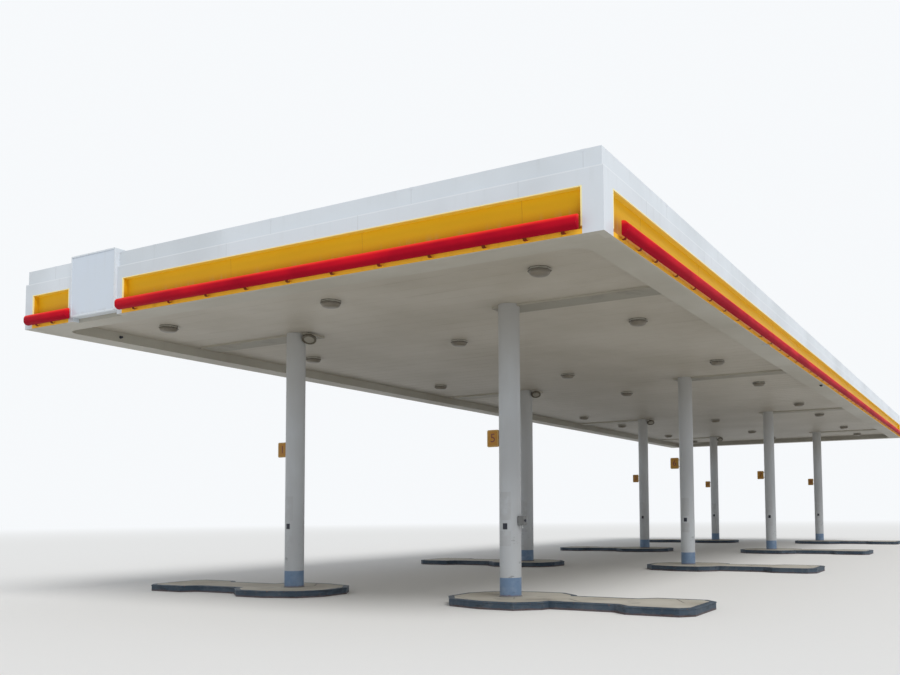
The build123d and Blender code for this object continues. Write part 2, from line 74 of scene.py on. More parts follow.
def placeCamera():
    camera = bpy.data.objects.new("camera", bpy.data.cameras.new("camera"))
    bpy.context.scene.collection.objects.link(camera)
    yaw, pitch, roll = view["yaw"], view["pitch"], view["roll"]
    forward = Vector((-math.sin(yaw) * math.cos(pitch), math.cos(yaw) * math.cos(pitch), math.sin(pitch)))
    right = Vector((math.cos(yaw), math.sin(yaw), 0))
    up = right.cross(forward)
    turned = right * math.cos(roll) + up * math.sin(roll)
    raised = up * math.cos(roll) - right * math.sin(roll)
    axes = Matrix((turned, raised, -forward)).transposed().to_4x4()
    camera.matrix_world = Matrix.Translation(view["place"]) @ axes
    camera.data.sensor_width = view["sensor"]
    camera.data.lens = view["lens"]
    camera.data.shift_x = view["shiftX"]
    camera.data.shift_y = view["shiftY"]
    camera.data.clip_end = view["farthest"]
    bpy.context.scene.camera = camera


placeCamera()
print("camera placed")


# Shader maths: one wrapped socket, whose operators add Math nodes
class Amount:
    def __init__(self, nodes, socket):
        self.nodes = nodes
        self.socket = socket

    def reckon(self, operation, *values):
        return self.nodes.add("ShaderNodeMath", {"operation": operation}, dict(enumerate(values)))

    def __add__(self, other):
        return self.reckon("ADD", self, other)

    def __sub__(self, other):
        return self.reckon("SUBTRACT", self, other)

    def __rsub__(self, other):
        return self.reckon("SUBTRACT", other, self)

    def __mul__(self, other):
        return self.reckon("MULTIPLY", self, other)

    def __abs__(self):
        return self.reckon("ABSOLUTE", self)

    def highest(self, other):
        return self.reckon("MAXIMUM", self, other)

    def limit(self):
        return self.reckon("MINIMUM", self, 1.0).highest(0.0)

    __radd__ = __add__
    __rmul__ = __mul__


class Nodes:
    # The node tree of a material or a world
    def __init__(self, owner):
        owner.use_nodes = True
        self.owner = owner
        self.tree = owner.node_tree
        self.tree.nodes.clear()

    def add(self, kind, settings=None, sockets=None, output=0):
        node = self.tree.nodes.new(kind)
        for key, value in (settings or {}).items():
            setattr(node, key, value)
        for key, value in (sockets or {}).items():
            if isinstance(value, Amount):
                self.tree.links.new(value.socket, node.inputs[key])
            else:
                node.inputs[key].default_value = value
        return Amount(self, node.outputs[output]) if node.outputs else None


class Paint(Nodes):
    # A material being put together. Patterns read Object coordinates, which are metres here
    def __init__(self, name):
        super().__init__(bpy.data.materials.new(name))
        self.place = self.add("ShaderNodeTexCoord", output="Object")
        self.facing = self.add("ShaderNodeNewGeometry", output="Normal")

    def axis(self, letter, vector=None):
        return self.add("ShaderNodeSeparateXYZ", sockets={0: vector or self.place}, output=letter)

    def cloud(self, scale, detail=4, rough=0.55, stretch=(1, 1, 1)):
        place = self.add("ShaderNodeVectorMath", {"operation": "MULTIPLY"}, {0: self.place, 1: stretch})
        return self.add("ShaderNodeTexNoise", {"noise_dimensions": "3D"}, {
            "Vector": place, "Scale": scale, "Detail": detail, "Roughness": rough})

    def cells(self, scale, feature="DISTANCE_TO_EDGE"):
        return self.add("ShaderNodeTexVoronoi", {"feature": feature}, {"Vector": self.place, "Scale": scale})

    def rise(self, value, low, high):
        return self.add("ShaderNodeMapRange", {"interpolation_type": "SMOOTHSTEP"}, {
            "Value": value, "From Min": low, "From Max": high})

    def fall(self, value, low, high):
        return 1 - self.rise(value, low, high)

    def spots(self, scale, low, high, detail=5, rough=0.55, stretch=(1, 1, 1)):
        # A cloud cut so that only its peaks are left
        return self.rise(self.cloud(scale, detail, rough, stretch), low, high)

    def streaks(self, across, up, low, high):
        # Spots squeezed across and drawn out upwards, so that they run down
        return self.spots(1.0, low, high, 5, 0.6, (across, across, up))

    def lines(self, value, pitch, width, start=0.0):
        # 1 on lines of that width, a pitch apart
        wave = self.add("ShaderNodeMath", {"operation": "PINGPONG"}, {0: value - start, 1: pitch / 2})
        return self.fall(wave, width * 0.35, width * 0.65)

    def layers(self, base, *coats):
        # Each coat is a mask and the colour it lets on: the name of a tone, or one worked out before
        for mask, coat in coats:
            ends = {6: base, 7: coat}
            ends = {k: v if isinstance(v, Amount) else (*tones[v], 1) for k, v in ends.items()}
            base = self.add("ShaderNodeMix", {"data_type": "RGBA"}, {0: mask, **ends}, output=2)
        return base

    def done(self, colour, rough, metal=0.0, bumps=(), coat=0.0, shine=0.5):
        # Each bump is a height and its depth in metres, where a bare number is the scale of a cloud
        sockets = {"Base Color": colour, "Roughness": rough, "Metallic": metal, "Coat Weight": coat,
                   "Coat Roughness": 0.12, "Specular IOR Level": shine}
        for height, depth in bumps:
            facts = {"Height": height if isinstance(height, Amount) else self.cloud(height, 2),
                     "Distance": depth, "Strength": 1.0}
            if "Normal" in sockets:
                facts["Normal"] = sockets["Normal"]
            sockets["Normal"] = self.add("ShaderNodeBump", sockets=facts)
        shader = self.add("ShaderNodeBsdfPrincipled", sockets=sockets)
        self.add("ShaderNodeOutputMaterial", sockets={"Surface": shader})
        return self.owner


# Colours are linear, as the shader takes them
tones = {
    # The third tone on this line is a painted highlight for the edge under the ledge
    "white": (0.70, 0.75, 0.80), "whiteShade": (0.61, 0.655, 0.695), "paintedLedgeHighlight": (0.88, 0.91, 0.94),
    "rain": (0.40, 0.40, 0.37), "dust": (0.36, 0.33, 0.27), "oil": (0.11, 0.10, 0.085),
    "rust": (0.20, 0.075, 0.025), "rubber": (0.028, 0.029, 0.032),
    # The second yellow is painted light for the top of the cove; the third is partly painted shade towards
    # the lip and partly a real change of tone
    "yellow": (0.78, 0.425, 0.008), "yellowPaintedLight": (0.93, 0.555, 0.010), "yellowDeep": (0.52, 0.205, 0.003),
    # On this line the second tone is painted light for the underside of the cove's head, and the third a
    # painted highlight along the recess edge
    "lip": (1.0, 0.56, 0.045), "head": (1.0, 0.82, 0.11), "paintedEdgeHighlight": (1.0, 0.90, 0.42),
    # The second red is a painted highlight for the bar's top; the third is partly painted shade on the bar's
    # lower half and partly a real change of tone
    "red": (0.64, 0.008, 0.022), "redPaintedHighlight": (0.88, 0.035, 0.022), "redDeep": (0.34, 0.004, 0.018),
    # On this line the first tone is darker than the soffit's off-white paint, painted shade for the canopy's
    # dim underside; the second serves stains and also painted shade near the columns; the last is painted
    # shade for the far end
    "soffit": (0.44, 0.405, 0.34), "soffitStainAndShade": (0.27, 0.235, 0.175), "paintedFarShade": (0.17, 0.155, 0.125),
    # The last tone on this line is painted light for the upright sides of the beam covers
    "band": (0.45, 0.43, 0.37), "cover": (0.25, 0.235, 0.19), "coverPaintedLight": (0.42, 0.39, 0.32),
    # The first tone on this line is darker than the columns' white paint: painted shade for the canopy's
    # shadow
    "column": (0.48, 0.495, 0.51), "foot": (0.165, 0.25, 0.385), "kerb": (0.037, 0.060, 0.088),
    "concrete": (0.50, 0.475, 0.415), "steel": (0.30, 0.295, 0.28), "zinc": (0.46, 0.47, 0.47),
    "bracket": (0.16, 0.035, 0.010), "housing": (0.098, 0.086, 0.062), "lens": (0.170, 0.146, 0.108),
    "drumFace": (0.27, 0.25, 0.205), "flag": (0.40, 0.18, 0.008), "cream": (0.50, 0.33, 0.08),
    "numeral": (0.15, 0.03, 0.012), "box": (0.17, 0.175, 0.175), "opal": (0.62, 0.69, 0.78),
    "seam": (0.52, 0.55, 0.58), "label": (0.455, 0.47, 0.485), "darkLabel": (0.018, 0.021, 0.036),
    "seal": (0.20, 0.20, 0.19),
}


def facingDown(p):
    return p.fall(p.axis("Z", p.facing), -0.9, -0.5)


def underside(p):
    # 1 on faces that look down at the level of the clear height
    return facingDown(p) * p.fall(p.axis("Z"), canopy["bottom"] + 0.010, canopy["bottom"] + 0.020)


def outwards(p):
    # Metres out from the face of the fascia, on the nearest side
    return (abs(p.axis("X")) - halfX).highest(abs(p.axis("Y")) - halfY)


def fasciaWhite():
    p = Paint("fasciaWhite")
    z = p.axis("Z")
    ledge = canopy["ledge"]
    wide = p.cloud(0.5, 3)
    streak = p.streaks(7, 0.35, 0.52, 0.75)
    underTop = p.rise(z, ledge, canopy["top"])
    underLedge = p.rise(z, canopy["coveTop"] - 0.1, ledge) * p.fall(z, ledge - 0.002, ledge + 0.002)
    # Painted highlight: a pale band just under the ledge, where the edge of the lower panel catches the light
    ledgeHighlight = p.rise(z, ledge - 0.020, ledge - 0.008) * p.fall(z, ledge - 0.001, ledge + 0.001)
    ledgeDirt = p.fall(abs(z - ledge), 0.001, 0.014) * (1 - ledgeHighlight)
    base = p.layers(
        "white", (p.rise(wide, 0.35, 0.7), "whiteShade"),
        ((streak * (underTop + underLedge) * 0.13).limit(), "rain"),
        (ledgeDirt * 0.12, "rain"), (ledgeHighlight * 0.45, "paintedLedgeHighlight"),
        (p.spots(24, 0.66, 0.74, 4, 0.7) * 0.10, "dust"),
        (underside(p), p.layers("band", (p.spots(3, 0.4, 0.7) * 0.4, "soffitStainAndShade"))))
    rough = 0.34 + wide * 0.16 + streak * 0.1
    return p.done(base, rough, bumps=[(0.9, 0.010), (55, 0.0004)], coat=0.1)


def coveYellow():
    p = Paint("coveYellow")
    z = p.axis("Z")
    lipTop, coveTop = canopy["lipTop"], canopy["coveTop"]
    wide = p.cloud(0.6, 3)
    streak = p.streaks(9, 0.5, 0.5, 0.78)
    # Painted shade and painted light: the cove is darker towards the lip and lighter towards its head
    low = p.fall(z, lipTop + 0.17, lipTop + 0.35)
    high = p.rise(z, lipTop + 0.30, coveTop - 0.03)
    # Painted light: faces that look down at the cove's head get a pale yellow, for light thrown up from the
    # ground
    head = facingDown(p) * p.rise(z, coveTop - 0.05, coveTop - 0.03)
    # Painted highlight: a pale cream band on the cove within about two centimetres of the fascia's face,
    # along the recess edge
    recessEdgeHighlight = p.rise(outwards(p), -0.022, -0.015) * p.rise(z, lipTop + 0.03, lipTop + 0.04)
    lip = p.fall(z, lipTop - 0.003, lipTop + 0.001)
    base = p.layers(
        "yellow", (low, "yellowDeep"), (high, "yellowPaintedLight"), (p.rise(wide, 0.3, 0.75) * 0.1, "yellowDeep"),
        (streak * low * 0.25, "rain"), (head, "head"), (recessEdgeHighlight, "paintedEdgeHighlight"),
        (lip, p.layers("lip", (streak * 0.15, "bracket"))), (underside(p), "band"))
    return p.done(base, 0.42 + wide * 0.2, bumps=[(1.1, 0.006), (60, 0.0003)], shine=0.18)


def barRed():
    p = Paint("barRed")
    z = p.axis("Z")
    bottom, top = canopy["barBottom"], canopy["barTop"]
    wide = p.cloud(0.8, 3)
    dust = p.spots(14, 0.45, 0.75, 5, 0.7) * p.rise(z, top - 0.012, top)
    # Painted highlight and painted shade: the bar is lighter along its top and darker over its lower half
    base = p.layers(
        "red", (p.rise(wide, 0.3, 0.7), "redDeep"), (p.fall(z, bottom + 0.008, top - 0.067) * 0.8, "redDeep"),
        (p.rise(z, top - 0.072, top - 0.012), "redPaintedHighlight"), (dust * 0.3, "dust"))
    return p.done(base, 0.46 + wide * 0.12 + dust * 0.3, bumps=[(60, 0.0002)], shine=0.03)


def paintedSoffit(name, tone, isDeck):
    # Painted pans from below; from above the same sheet is dull zinc with settled dirt
    p = Paint(name)
    x, y = p.axis("X"), p.axis("Y")
    up = p.rise(p.axis("Z", p.facing), 0.2, 0.6)
    wide = p.cloud(0.35, 4)
    patch = p.spots(1.4, 0.53, 0.74, 5, 0.6, (0.35, 1.4, 1))
    # The last coat is painted shade: the sheet darkens towards the far end and the west side
    paint = p.layers(tone, (p.rise(wide, 0.3, 0.75) * 0.45, "soffitStainAndShade"), (patch * 0.22, "soffitStainAndShade"),
                     (p.rise(y - x, -16, 16) * 0.5, "paintedFarShade"))
    if isDeck:
        seam = p.lines(y, panPitch, 0.035, -canopy["innerY"])
        paint = p.layers(paint, (seam * (0.05 + 0.2 * patch), "soffitStainAndShade"))
        # Painted shade: the deck darkens round the head of each column
        for columnX, columnY in columnSpots:
            away = p.add("ShaderNodeVectorMath", {"operation": "DISTANCE"}, {
                0: p.place, 1: (columnX, columnY, canopy["soffit"])}, output="Value")
            paint = p.layers(paint, (p.fall(away, 0.2, 0.75) * 0.3, "soffitStainAndShade"))
    roof = p.layers("zinc", (p.spots(3.2, 0.42, 0.68, 6, 0.65) * 0.7, "dust"),
                    (p.spots(9, 0.63, 0.72, 6, 0.7) * 0.55, "rust"))
    waves = p.cloud(1.2, 2, stretch=(0.4, 2, 1))
    return p.done(p.layers(paint, (up, roof)), 0.45 + wide * 0.15 + up * 0.2, up * 0.25,
                  [(waves, 0.004), (70, 0.0003)])


def columnPaint():
    p = Paint("columnPaint")
    z = p.axis("Z")
    wide = p.cloud(1.3, 4, stretch=(1, 1, 0.4))
    foot = p.fall(z + p.cloud(18, 3) * 0.008, canopy["footPaint"], canopy["footPaint"] + 0.003)
    scuff = p.spots(5, 0.6, 0.66, 6, 0.7, (1, 1, 3)) * p.fall(z, 0.7, 1.5)
    blue = p.layers("foot", (p.spots(6, 0.4, 0.7) * 0.12, "whiteShade"),
                    (p.spots(9, 0.58, 0.66, 6, 0.7, (1, 1, 2.4)) * 0.22, "rubber"))
    chips = p.spots(20, 0.66, 0.69, 6, 0.75) * p.fall(z, 0.2, 0.75)
    ring = p.fall(z + p.cloud(14, 4) * 0.05, 0.15, 0.19)
    base = p.layers(
        "column", (p.rise(wide, 0.35, 0.75) * 0.5, "whiteShade"),
        # painted shade: the column darkens towards the canopy above it
        (p.streaks(14, 0.35, 0.52, 0.78) * 0.16, "rain"), (p.rise(z, 3.0, 4.9) * 0.45, "soffitStainAndShade"),
        (scuff * 0.45, "rubber"), (foot, blue), ((chips * 0.8 + ring * 0.6).limit(), "rust"))
    return p.done(base, 0.38 + wide * 0.15 + chips * 0.3,
                  bumps=[(p.cloud(26, 3), 0.0006), (chips, 0.0008), (1.5, 0.003)], shine=0.2)


def kerbPaint():
    p = Paint("kerbPaint")
    z = p.axis("Z")
    wide = p.cloud(1.7, 4)
    tyre = p.spots(3.2, 0.53, 0.64, 6, 0.7, (1, 1, 5))
    scratch = p.spots(8, 0.6, 0.63, 6, 0.8, (1, 1, 9))
    chips = p.spots(16, 0.6, 0.64, 6, 0.75) * p.rise(z, 0.075, 0.115)
    wet = p.fall(z + p.cloud(6, 4) * 0.04, 0.03, 0.06)
    base = p.layers(
        "kerb", (p.rise(wide, 0.35, 0.7) * 0.07, "whiteShade"), (tyre * 0.55, "rubber"),
        (scratch * 0.12, "zinc"), ((chips * 0.85 + wet * 0.3).limit(), "rust"),
        (p.spots(11, 0.5, 0.7) * 0.08, "dust"))
    return p.done(base, 0.5 + wide * 0.2 + tyre * 0.15,
                  bumps=[(p.cloud(20, 4), 0.0012), (chips, 0.001), (scratch, 0.0005)], shine=0.25)


def islandConcrete():
    p = Paint("islandConcrete")
    oil = p.spots(2.1, 0.56, 0.7, 5, 0.6)
    crack = p.fall(p.cells(0.75) + p.cloud(9, 4) * 0.02, 0.012, 0.022) * p.spots(0.8, 0.45, 0.55, 2)
    base = p.layers("concrete", (p.spots(0.9, 0.3, 0.75), "dust"),
                    (p.spots(42, 0.5, 0.75, 5, 0.7) * 0.4, "rain"), (oil * 0.45, "oil"), (crack * 0.7, "oil"))
    broom = p.cloud(1.0, 3, 0.6, (6, 130, 1))
    pits = p.spots(120, 0.66, 0.72, 2)
    return p.done(base, 0.82 - oil * 0.2, bumps=[(broom, 0.0012), (pits, -0.0008), (crack, -0.003)])


def primedSteel():
    p = Paint("steelPrimer")
    rust = p.spots(2.4, 0.60, 0.71, 7, 0.72)
    run = p.streaks(10, 0.7, 0.6, 0.8)
    base = p.layers("steel", (p.spots(0.9, 0.35, 0.7) * 0.5, "dust"),
                    ((rust * 0.85 + run * 0.25).limit(), "rust"))
    return p.done(base, 0.55 + rust * 0.3, bumps=[(p.cloud(30, 4), 0.0008), (rust, 0.0006)])


def zincSheet():
    p = Paint("gutterZinc")
    dirt = p.spots(2.2, 0.4, 0.66, 6, 0.66)
    base = p.layers("zinc", (p.cells(26, "F1") * 0.6, "steel"), (dirt * 0.6, "dust"))
    return p.done(base, 0.42 + dirt * 0.35, 0.55 - dirt * 0.45,
                  [(p.cloud(14, 3), 0.0006), (p.cloud(1.1, 4), 0.003)])


def coverPaint():
    p = Paint("coverPaint")
    wide = p.cloud(0.8, 4)
    # Painted light: the cover's upright sides are lighter than its bottom
    side = p.fall(abs(p.axis("Z", p.facing)), 0.3, 0.6)
    base = p.layers("cover", (p.rise(wide, 0.3, 0.7) * 0.3, "soffitStainAndShade"),
                    (p.spots(2.0, 0.52, 0.7, 6, 0.65) * 0.35, "oil"), (side * 0.8, "coverPaintedLight"))
    return p.done(base, 0.5 + wide * 0.15, bumps=[(1.6, 0.004), (60, 0.0003)])


def hangerPaint():
    # The strap wears the yellow of the lip; its leg in front is bare and brown
    p = Paint("hangerPaint")
    wear = p.spots(12, 0.4, 0.7, 5, 0.65)
    leg = p.layers("bracket", (wear * 0.5, "redDeep"))
    base = p.layers("lip", (wear * 0.3, "yellowDeep"), (p.rise(outwards(p), 0.018, 0.023), leg))
    return p.done(base, 0.5 + wear * 0.2, bumps=[(60, 0.0003)], shine=0.06)


def smallPaint(name, tone, grime, rough, metal=0.0, coat=0.0, scale=6.0):
    # Finish of a small fitting: its tone, grime in soft patches and a fine skin
    p = Paint(name)
    wide = p.cloud(scale, 5, 0.62)
    fine = p.cloud(scale * 14, 3)
    base = p.layers(tone, (p.rise(wide, 0.42, 0.72) * 0.4, grime), (p.rise(fine, 0.62, 0.75) * 0.18, "dust"))
    return p.done(base, rough + wide * 0.18, metal, [(fine, 0.0002), (wide, 0.0008)], coat=coat)


def housingPaint():
    # A dark pan whose collar, between its flange and its rim, is painted with the deck; the flange above the
    # collar stays dark as a painted shadow line under the deck
    p = Paint("lightHousing")
    z = p.axis("Z")
    head, foot = canopy["soffit"] - canopy["lampFlange"], canopy["soffit"] - canopy["lampCollar"]
    wide = p.cloud(6, 5, 0.62)
    neck = p.rise(z, foot, foot + 0.001) * p.fall(z, head - 0.001, head)
    base = p.layers("housing", (p.rise(wide, 0.42, 0.72) * 0.4, "oil"), (neck, "band"))
    return p.done(base, 0.45 + wide * 0.18, bumps=[(p.cloud(84, 3), 0.0002)])


def signFace():
    p = Paint("signFace")
    z = p.axis("Z")
    wide = p.cloud(1.4, 4)
    run = p.streaks(12, 0.6, 0.52, 0.8) * p.rise(z, sign["top"] - 0.64, sign["top"] - 0.02)
    splash = p.fall(z, sign["bottom"] + 0.014, sign["bottom"] + 0.084) * p.spots(9, 0.4, 0.7, 4)
    base = p.layers("opal", (p.rise(wide, 0.35, 0.75) * 0.3, "whiteShade"), (run * 0.16, "rain"),
                    (splash * 0.3, "dust"))
    return p.done(base, 0.24 + wide * 0.12, bumps=[(1.0, 0.006)], coat=0.3)


finishes = {
    "fascia_white": fasciaWhite(),
    "cove_yellow": coveYellow(),
    "bar_red": barRed(),
    "deck_paint": paintedSoffit("soffitPaint", "soffit", True),
    "band": paintedSoffit("bandPaint", "band", False),
    "column_paint": columnPaint(),
    "kerb_paint": kerbPaint(),
    "island_concrete": islandConcrete(),
    "steel_primer": primedSteel(),
    "gutter_sheet": zincSheet(),
    "cover_paint": coverPaint(),
    "bracket_dark": hangerPaint(),
    "sign_frame": smallPaint("signFrame", "white", "whiteShade", 0.32, coat=0.2),
    "sign_face": signFace(),
    "flag_yellow": smallPaint("flagOrange", "flag", "yellowDeep", 0.4, coat=0.1),
    "light_housing": housingPaint(),
    "speaker_grey": smallPaint("drumGrey", "housing", "soffitStainAndShade", 0.5),
    "box_grey": smallPaint("boxGrey", "box", "oil", 0.5),
    "lens": smallPaint("lightLens", "lens", "oil", 0.3, coat=0.1),
    "drumFace": smallPaint("drumFace", "drumFace", "oil", 0.5),
    "zinc": smallPaint("boltZinc", "zinc", "rust", 0.4, 0.7, scale=20.0),
    "seam": smallPaint("panelJoint", "seam", "rain", 0.6),
    "goldSeam": smallPaint("coveJoint", "yellowDeep", "bracket", 0.5),
    "cream": smallPaint("flagBorder", "cream", "flag", 0.35, coat=0.2),
    "numeral": smallPaint("flagNumeral", "numeral", "redDeep", 0.35, coat=0.2),
    "label": smallPaint("plainLabel", "label", "whiteShade", 0.5),
    "darkLabel": smallPaint("darkLabel", "darkLabel", "rubber", 0.5),
    "seal": smallPaint("jointSeal", "seal", "oil", 0.7),
}
# Which finish a node wears, by the start of its name; the longest start that fits counts
finishOf = {
    "column_cap": "steel_primer", "column_": "column_paint", "island_kerbs": "kerb_paint",
    "island_slabs": "island_concrete", "main_beam": "steel_primer", "purlins": "steel_primer",
    "edge_beams": "steel_primer", "deck_bay": "deck_paint", "gutters": "gutter_sheet",
    "beam_covers": "cover_paint", "edge_bands": "band", "fascia_upper": "fascia_white",
    "fascia_lower": "fascia_white", "fascia_corners": "fascia_white", "cove_": "cove_yellow",
    "light_bars": "bar_red", "bar_brackets": "bracket_dark", "fascia_stays": "steel_primer",
    "sign_cabinet": "sign_frame", "sign_face": "sign_face", "number_flags": "flag_yellow",
    "downlights": "light_housing", "speakers": "speaker_grey", "stop_box": "box_grey",
}
for name, node in nodes.items():
    prefix = max((k for k in finishOf if name.startswith(k)), key=len)
    node.data.materials.clear()
    node.data.materials.append(finishes[finishOf[prefix]])
print("finishes laid on", len(nodes), "nodes")


# Mesh makers: every shape is worked out as whole arrays
def addPiece(name, points, faces, finish, slot, smooth=False):
    mesh = bpy.data.meshes.new(name)
    mesh.from_pydata(np.asarray(points, float).reshape(-1, 3).tolist(), [], faces)
    mesh.materials.append(finishes[finish])
    if smooth:
        mesh.polygons.foreach_set("use_smooth", np.ones(len(mesh.polygons), bool))
        mesh.set_sharp_from_angle(angle=math.radians(38))
    mesh.update()
    piece = bpy.data.objects.new(name, mesh)
    bpy.context.scene.collection.objects.link(piece)
    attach(piece, "root")
    return piece


def joined(*sets):
    points, faces, count = [], [], 0
    for p, f in sets:
        points.append(np.asarray(p, float).reshape(-1, 3))
        faces += [[v + count for v in face] for face in f]
        count += len(points[-1])
    return np.concatenate(points), faces


def ringFaces(index):
    # Quads between neighbouring rows of a grid of indices, where each row is a closed loop
    a, b = index[..., :-1, :], index[..., 1:, :]
    return np.stack([a, np.roll(a, -1, -1), np.roll(b, -1, -1), b], -1).reshape(-1, 4)


def closedFaces(index):
    # The same quads, and an end face on the first and the last row
    ends = np.stack([index[..., 0, ::-1], index[..., -1, :]]).reshape(-1, index.shape[-1])
    return ringFaces(index).tolist() + ends.tolist()


def boxSet(pairs):
    # Boxes between pairs of opposite corners: each corner takes x, y and z from the lower or the higher end
    pairs = np.array(pairs, float).reshape(-1, 2, 3)
    pick = np.array([(0, 0, 0), (1, 0, 0), (1, 1, 0), (0, 1, 0), (0, 0, 1), (1, 0, 1), (1, 1, 1), (0, 1, 1)])
    points = np.where(pick, pairs.max(1)[:, None], pairs.min(1)[:, None])
    quads = np.array([(0, 3, 2, 1), (4, 5, 6, 7), (0, 1, 5, 4), (1, 2, 6, 5), (2, 3, 7, 6), (3, 0, 4, 7)])
    faces = quads + len(pick) * np.arange(len(pairs))[:, None, None]
    return points.reshape(-1, 3), faces.reshape(-1, 4).tolist()


def turnedSet(profile, centres, sides, axis=2, outward=1.0, twist=0.0):
    # Turned shapes: a profile of radius and height carried round a circle at each centre, ends capped
    profile = np.array(profile, float)
    centres = np.atleast_2d(np.array(centres, float))
    angle = twist + 2 * np.pi * np.arange(sides) / sides
    radius, height = profile[:, :1], profile[:, 1:] * outward
    ring = np.stack([radius * np.cos(angle), radius * np.sin(angle), height + 0 * angle], -1)
    ring = np.roll(ring, axis + 1, axis=-1)
    points = ring + centres[:, None, None]
    index = np.arange(points.size // 3).reshape(points.shape[:3])
    if height[-1] <= height[0]:  # a profile that runs down would turn the faces inwards
        index = index[..., ::-1]
    return points.reshape(-1, 3), closedFaces(index)


def sweptSet(profile, starts, along):
    # Swept shapes: a closed profile of (out, up) points placed at each start and carried along a vector.
    # starts holds origin, out direction and length direction for each copy
    profile = np.array(profile, float)
    origins, outs, lengths = (np.array([start[k] for start in starts], float) for k in range(3))
    runs = lengths * np.asarray(along, float).reshape(-1, 1)
    near = origins[:, None] + outs[:, None] * profile[:, :1] + np.array([0, 0, 1.0]) * profile[:, 1:]
    points = np.stack([near, near + runs[:, None]], 1)
    out, up = profile.T
    area = 0.5 * np.sum(out * np.roll(up, -1) - np.roll(out, -1) * up)
    hand = np.sum(np.cross(outs, (0, 0, 1)) * runs, 1) * area
    index = np.arange(points.size // 3).reshape(points.shape[:3])
    index = np.where(hand[:, None, None] < 0, index[..., ::-1], index)
    return points.reshape(-1, 3), closedFaces(index)


# The four sides: middle of the face, out direction, length direction, half length
sides = {
    "front": ((0, -halfY, 0), (0, -1, 0), (1, 0, 0), halfX),
    "back": ((0, halfY, 0), (0, 1, 0), (1, 0, 0), halfX),
    "east": ((halfX, 0, 0), (1, 0, 0), (0, 1, 0), halfY),
    "west": ((-halfX, 0, 0), (-1, 0, 0), (0, 1, 0), halfY),
}
runEnds = {"front": (-5.325, 5.245), "inset": 0.28}


def onSide(side, place, out=0.0, up=0.0):
    middle, outward, length, _ = sides[side]
    return np.array(middle) + np.array(outward) * out + np.array(length) * place + np.array((0, 0, up))


def sideBox(side, place, half, outs, ups):
    # Opposite corners of a box on a side, from its place, half its width, and its reach out and up
    return onSide(side, place - half, outs[0], ups[0]), onSide(side, place + half, outs[1], ups[1])


def sideRuns(side):
    # Stretches of a side that carry the cove and the bar
    if side == "front":
        return [(runEnds["front"][0], sign["blockLeft"]), (sign["blockRight"], runEnds["front"][1])]
    half = sides[side][3] - runEnds["inset"]
    return [(-half, half)]


# Panel joints of the fascia: narrow gasket strips, and a strip that follows the cove
joints = {"pitch": 2.5, "upperStart": 0.254, "lowerStart": -0.614, "width": 0.004, "coveWidth": 0.0028,
          "proud": 0.0008, "seat": 0.002, "trim": 0.001, "endGap": 0.1, "signGap": 0.02}
coveLine = {"head": (-0.09, 5.322), "turn": (-0.106, 4.958), "arc": (0.092, 0.146), "proud": 0.0012,
            "seat": 0.004, "steps": 9}


def jointPlaces(side, start):
    # Places a pitch apart, from one that is known to beyond both ends
    reach = int(sides[side][3] / joints["pitch"]) + 2
    return joints[start] + joints["pitch"] * np.arange(-reach, reach + 1)


def upperJoints(side, endGap, signGap):
    # Joints of the upper strip, clear of its ends and of the sign
    places = jointPlaces(side, "upperStart")
    clear = np.abs(places) < sides[side][3] - endGap
    if side == "front":
        clear &= (places < sign["left"] - signGap) | (places > sign["right"] + signGap)
    return places[clear]


def covePath():
    # The cove's face: a straight lean from the head to the turn, then a quarter ellipse out to the lip
    turn = np.linspace(0, np.pi / 2, coveLine["steps"])[1:]
    (turnOut, turnUp), (arcOut, arcUp) = coveLine["turn"], coveLine["arc"]
    arc = np.stack([turnOut + arcOut * (1 - np.cos(turn)), turnUp - arcUp * np.sin(turn)], -1)
    return np.concatenate([[coveLine["head"], coveLine["turn"]], arc])


def panelJoints():
    # Each strip is a thin box between the edges of its panel; in the cove it is the path, thickened
    half, proud, seat, trim = joints["width"] / 2, joints["proud"], joints["seat"], joints["trim"]
    back, ledge = -canopy["setback"], canopy["ledge"]
    upper, lower = (ledge + trim, canopy["top"] - trim), (canopy["coveTop"] + trim, ledge - trim)
    strips, starts = [], []
    for side, (_, outward, length, _) in sides.items():
        for place in upperJoints(side, joints["endGap"], joints["signGap"]):
            strips.append(sideBox(side, place, half, (back - seat, back + proud), upper))
        for place in jointPlaces(side, "lowerStart"):
            if any(low + joints["endGap"] < place < high - joints["endGap"] for low, high in sideRuns(side)):
                strips.append(sideBox(side, place, half, (-seat, proud), lower))
                starts.append((onSide(side, place - joints["coveWidth"] / 2), outward, length))
    addPiece("panel_joints", *boxSet(strips), "seam", "fascia_white")
    path = covePath()
    profile = np.concatenate([path + coveLine["proud"], (path - coveLine["seat"])[::-1]])
    widths = [joints["coveWidth"]] * len(starts)
    addPiece("cove_joints", *sweptSet(profile, starts, widths), "goldSeam", "cove_yellow")


panelJoints()


# Joint covers over the coping, one at each panel joint of the upper strip
coping = {"depth": 0.13, "width": 0.07, "sheet": 0.0016, "skirt": 0.03, "endGap": 0.2, "signGap": 0.05}


def copingStraps():
    # Three thin boxes for each: over the top, down the front and down the back
    half, t, top = coping["width"] / 2, coping["sheet"], canopy["top"]
    outer = -canopy["setback"]
    inner, skirt = outer - coping["depth"], top - coping["skirt"]
    straps = []
    for side in sides:
        for place in upperJoints(side, coping["endGap"], coping["signGap"]):
            straps.append(sideBox(side, place, half, (inner - t, outer + t), (top, top + t)))
            straps.append(sideBox(side, place, half, (outer, outer + t), (skirt, top)))
            straps.append(sideBox(side, place, half, (inner - t, inner), (skirt, top)))
    addPiece("coping_straps", *boxSet(straps), "fascia_white", "fascia_white")


copingStraps()
print("fascia joints made")


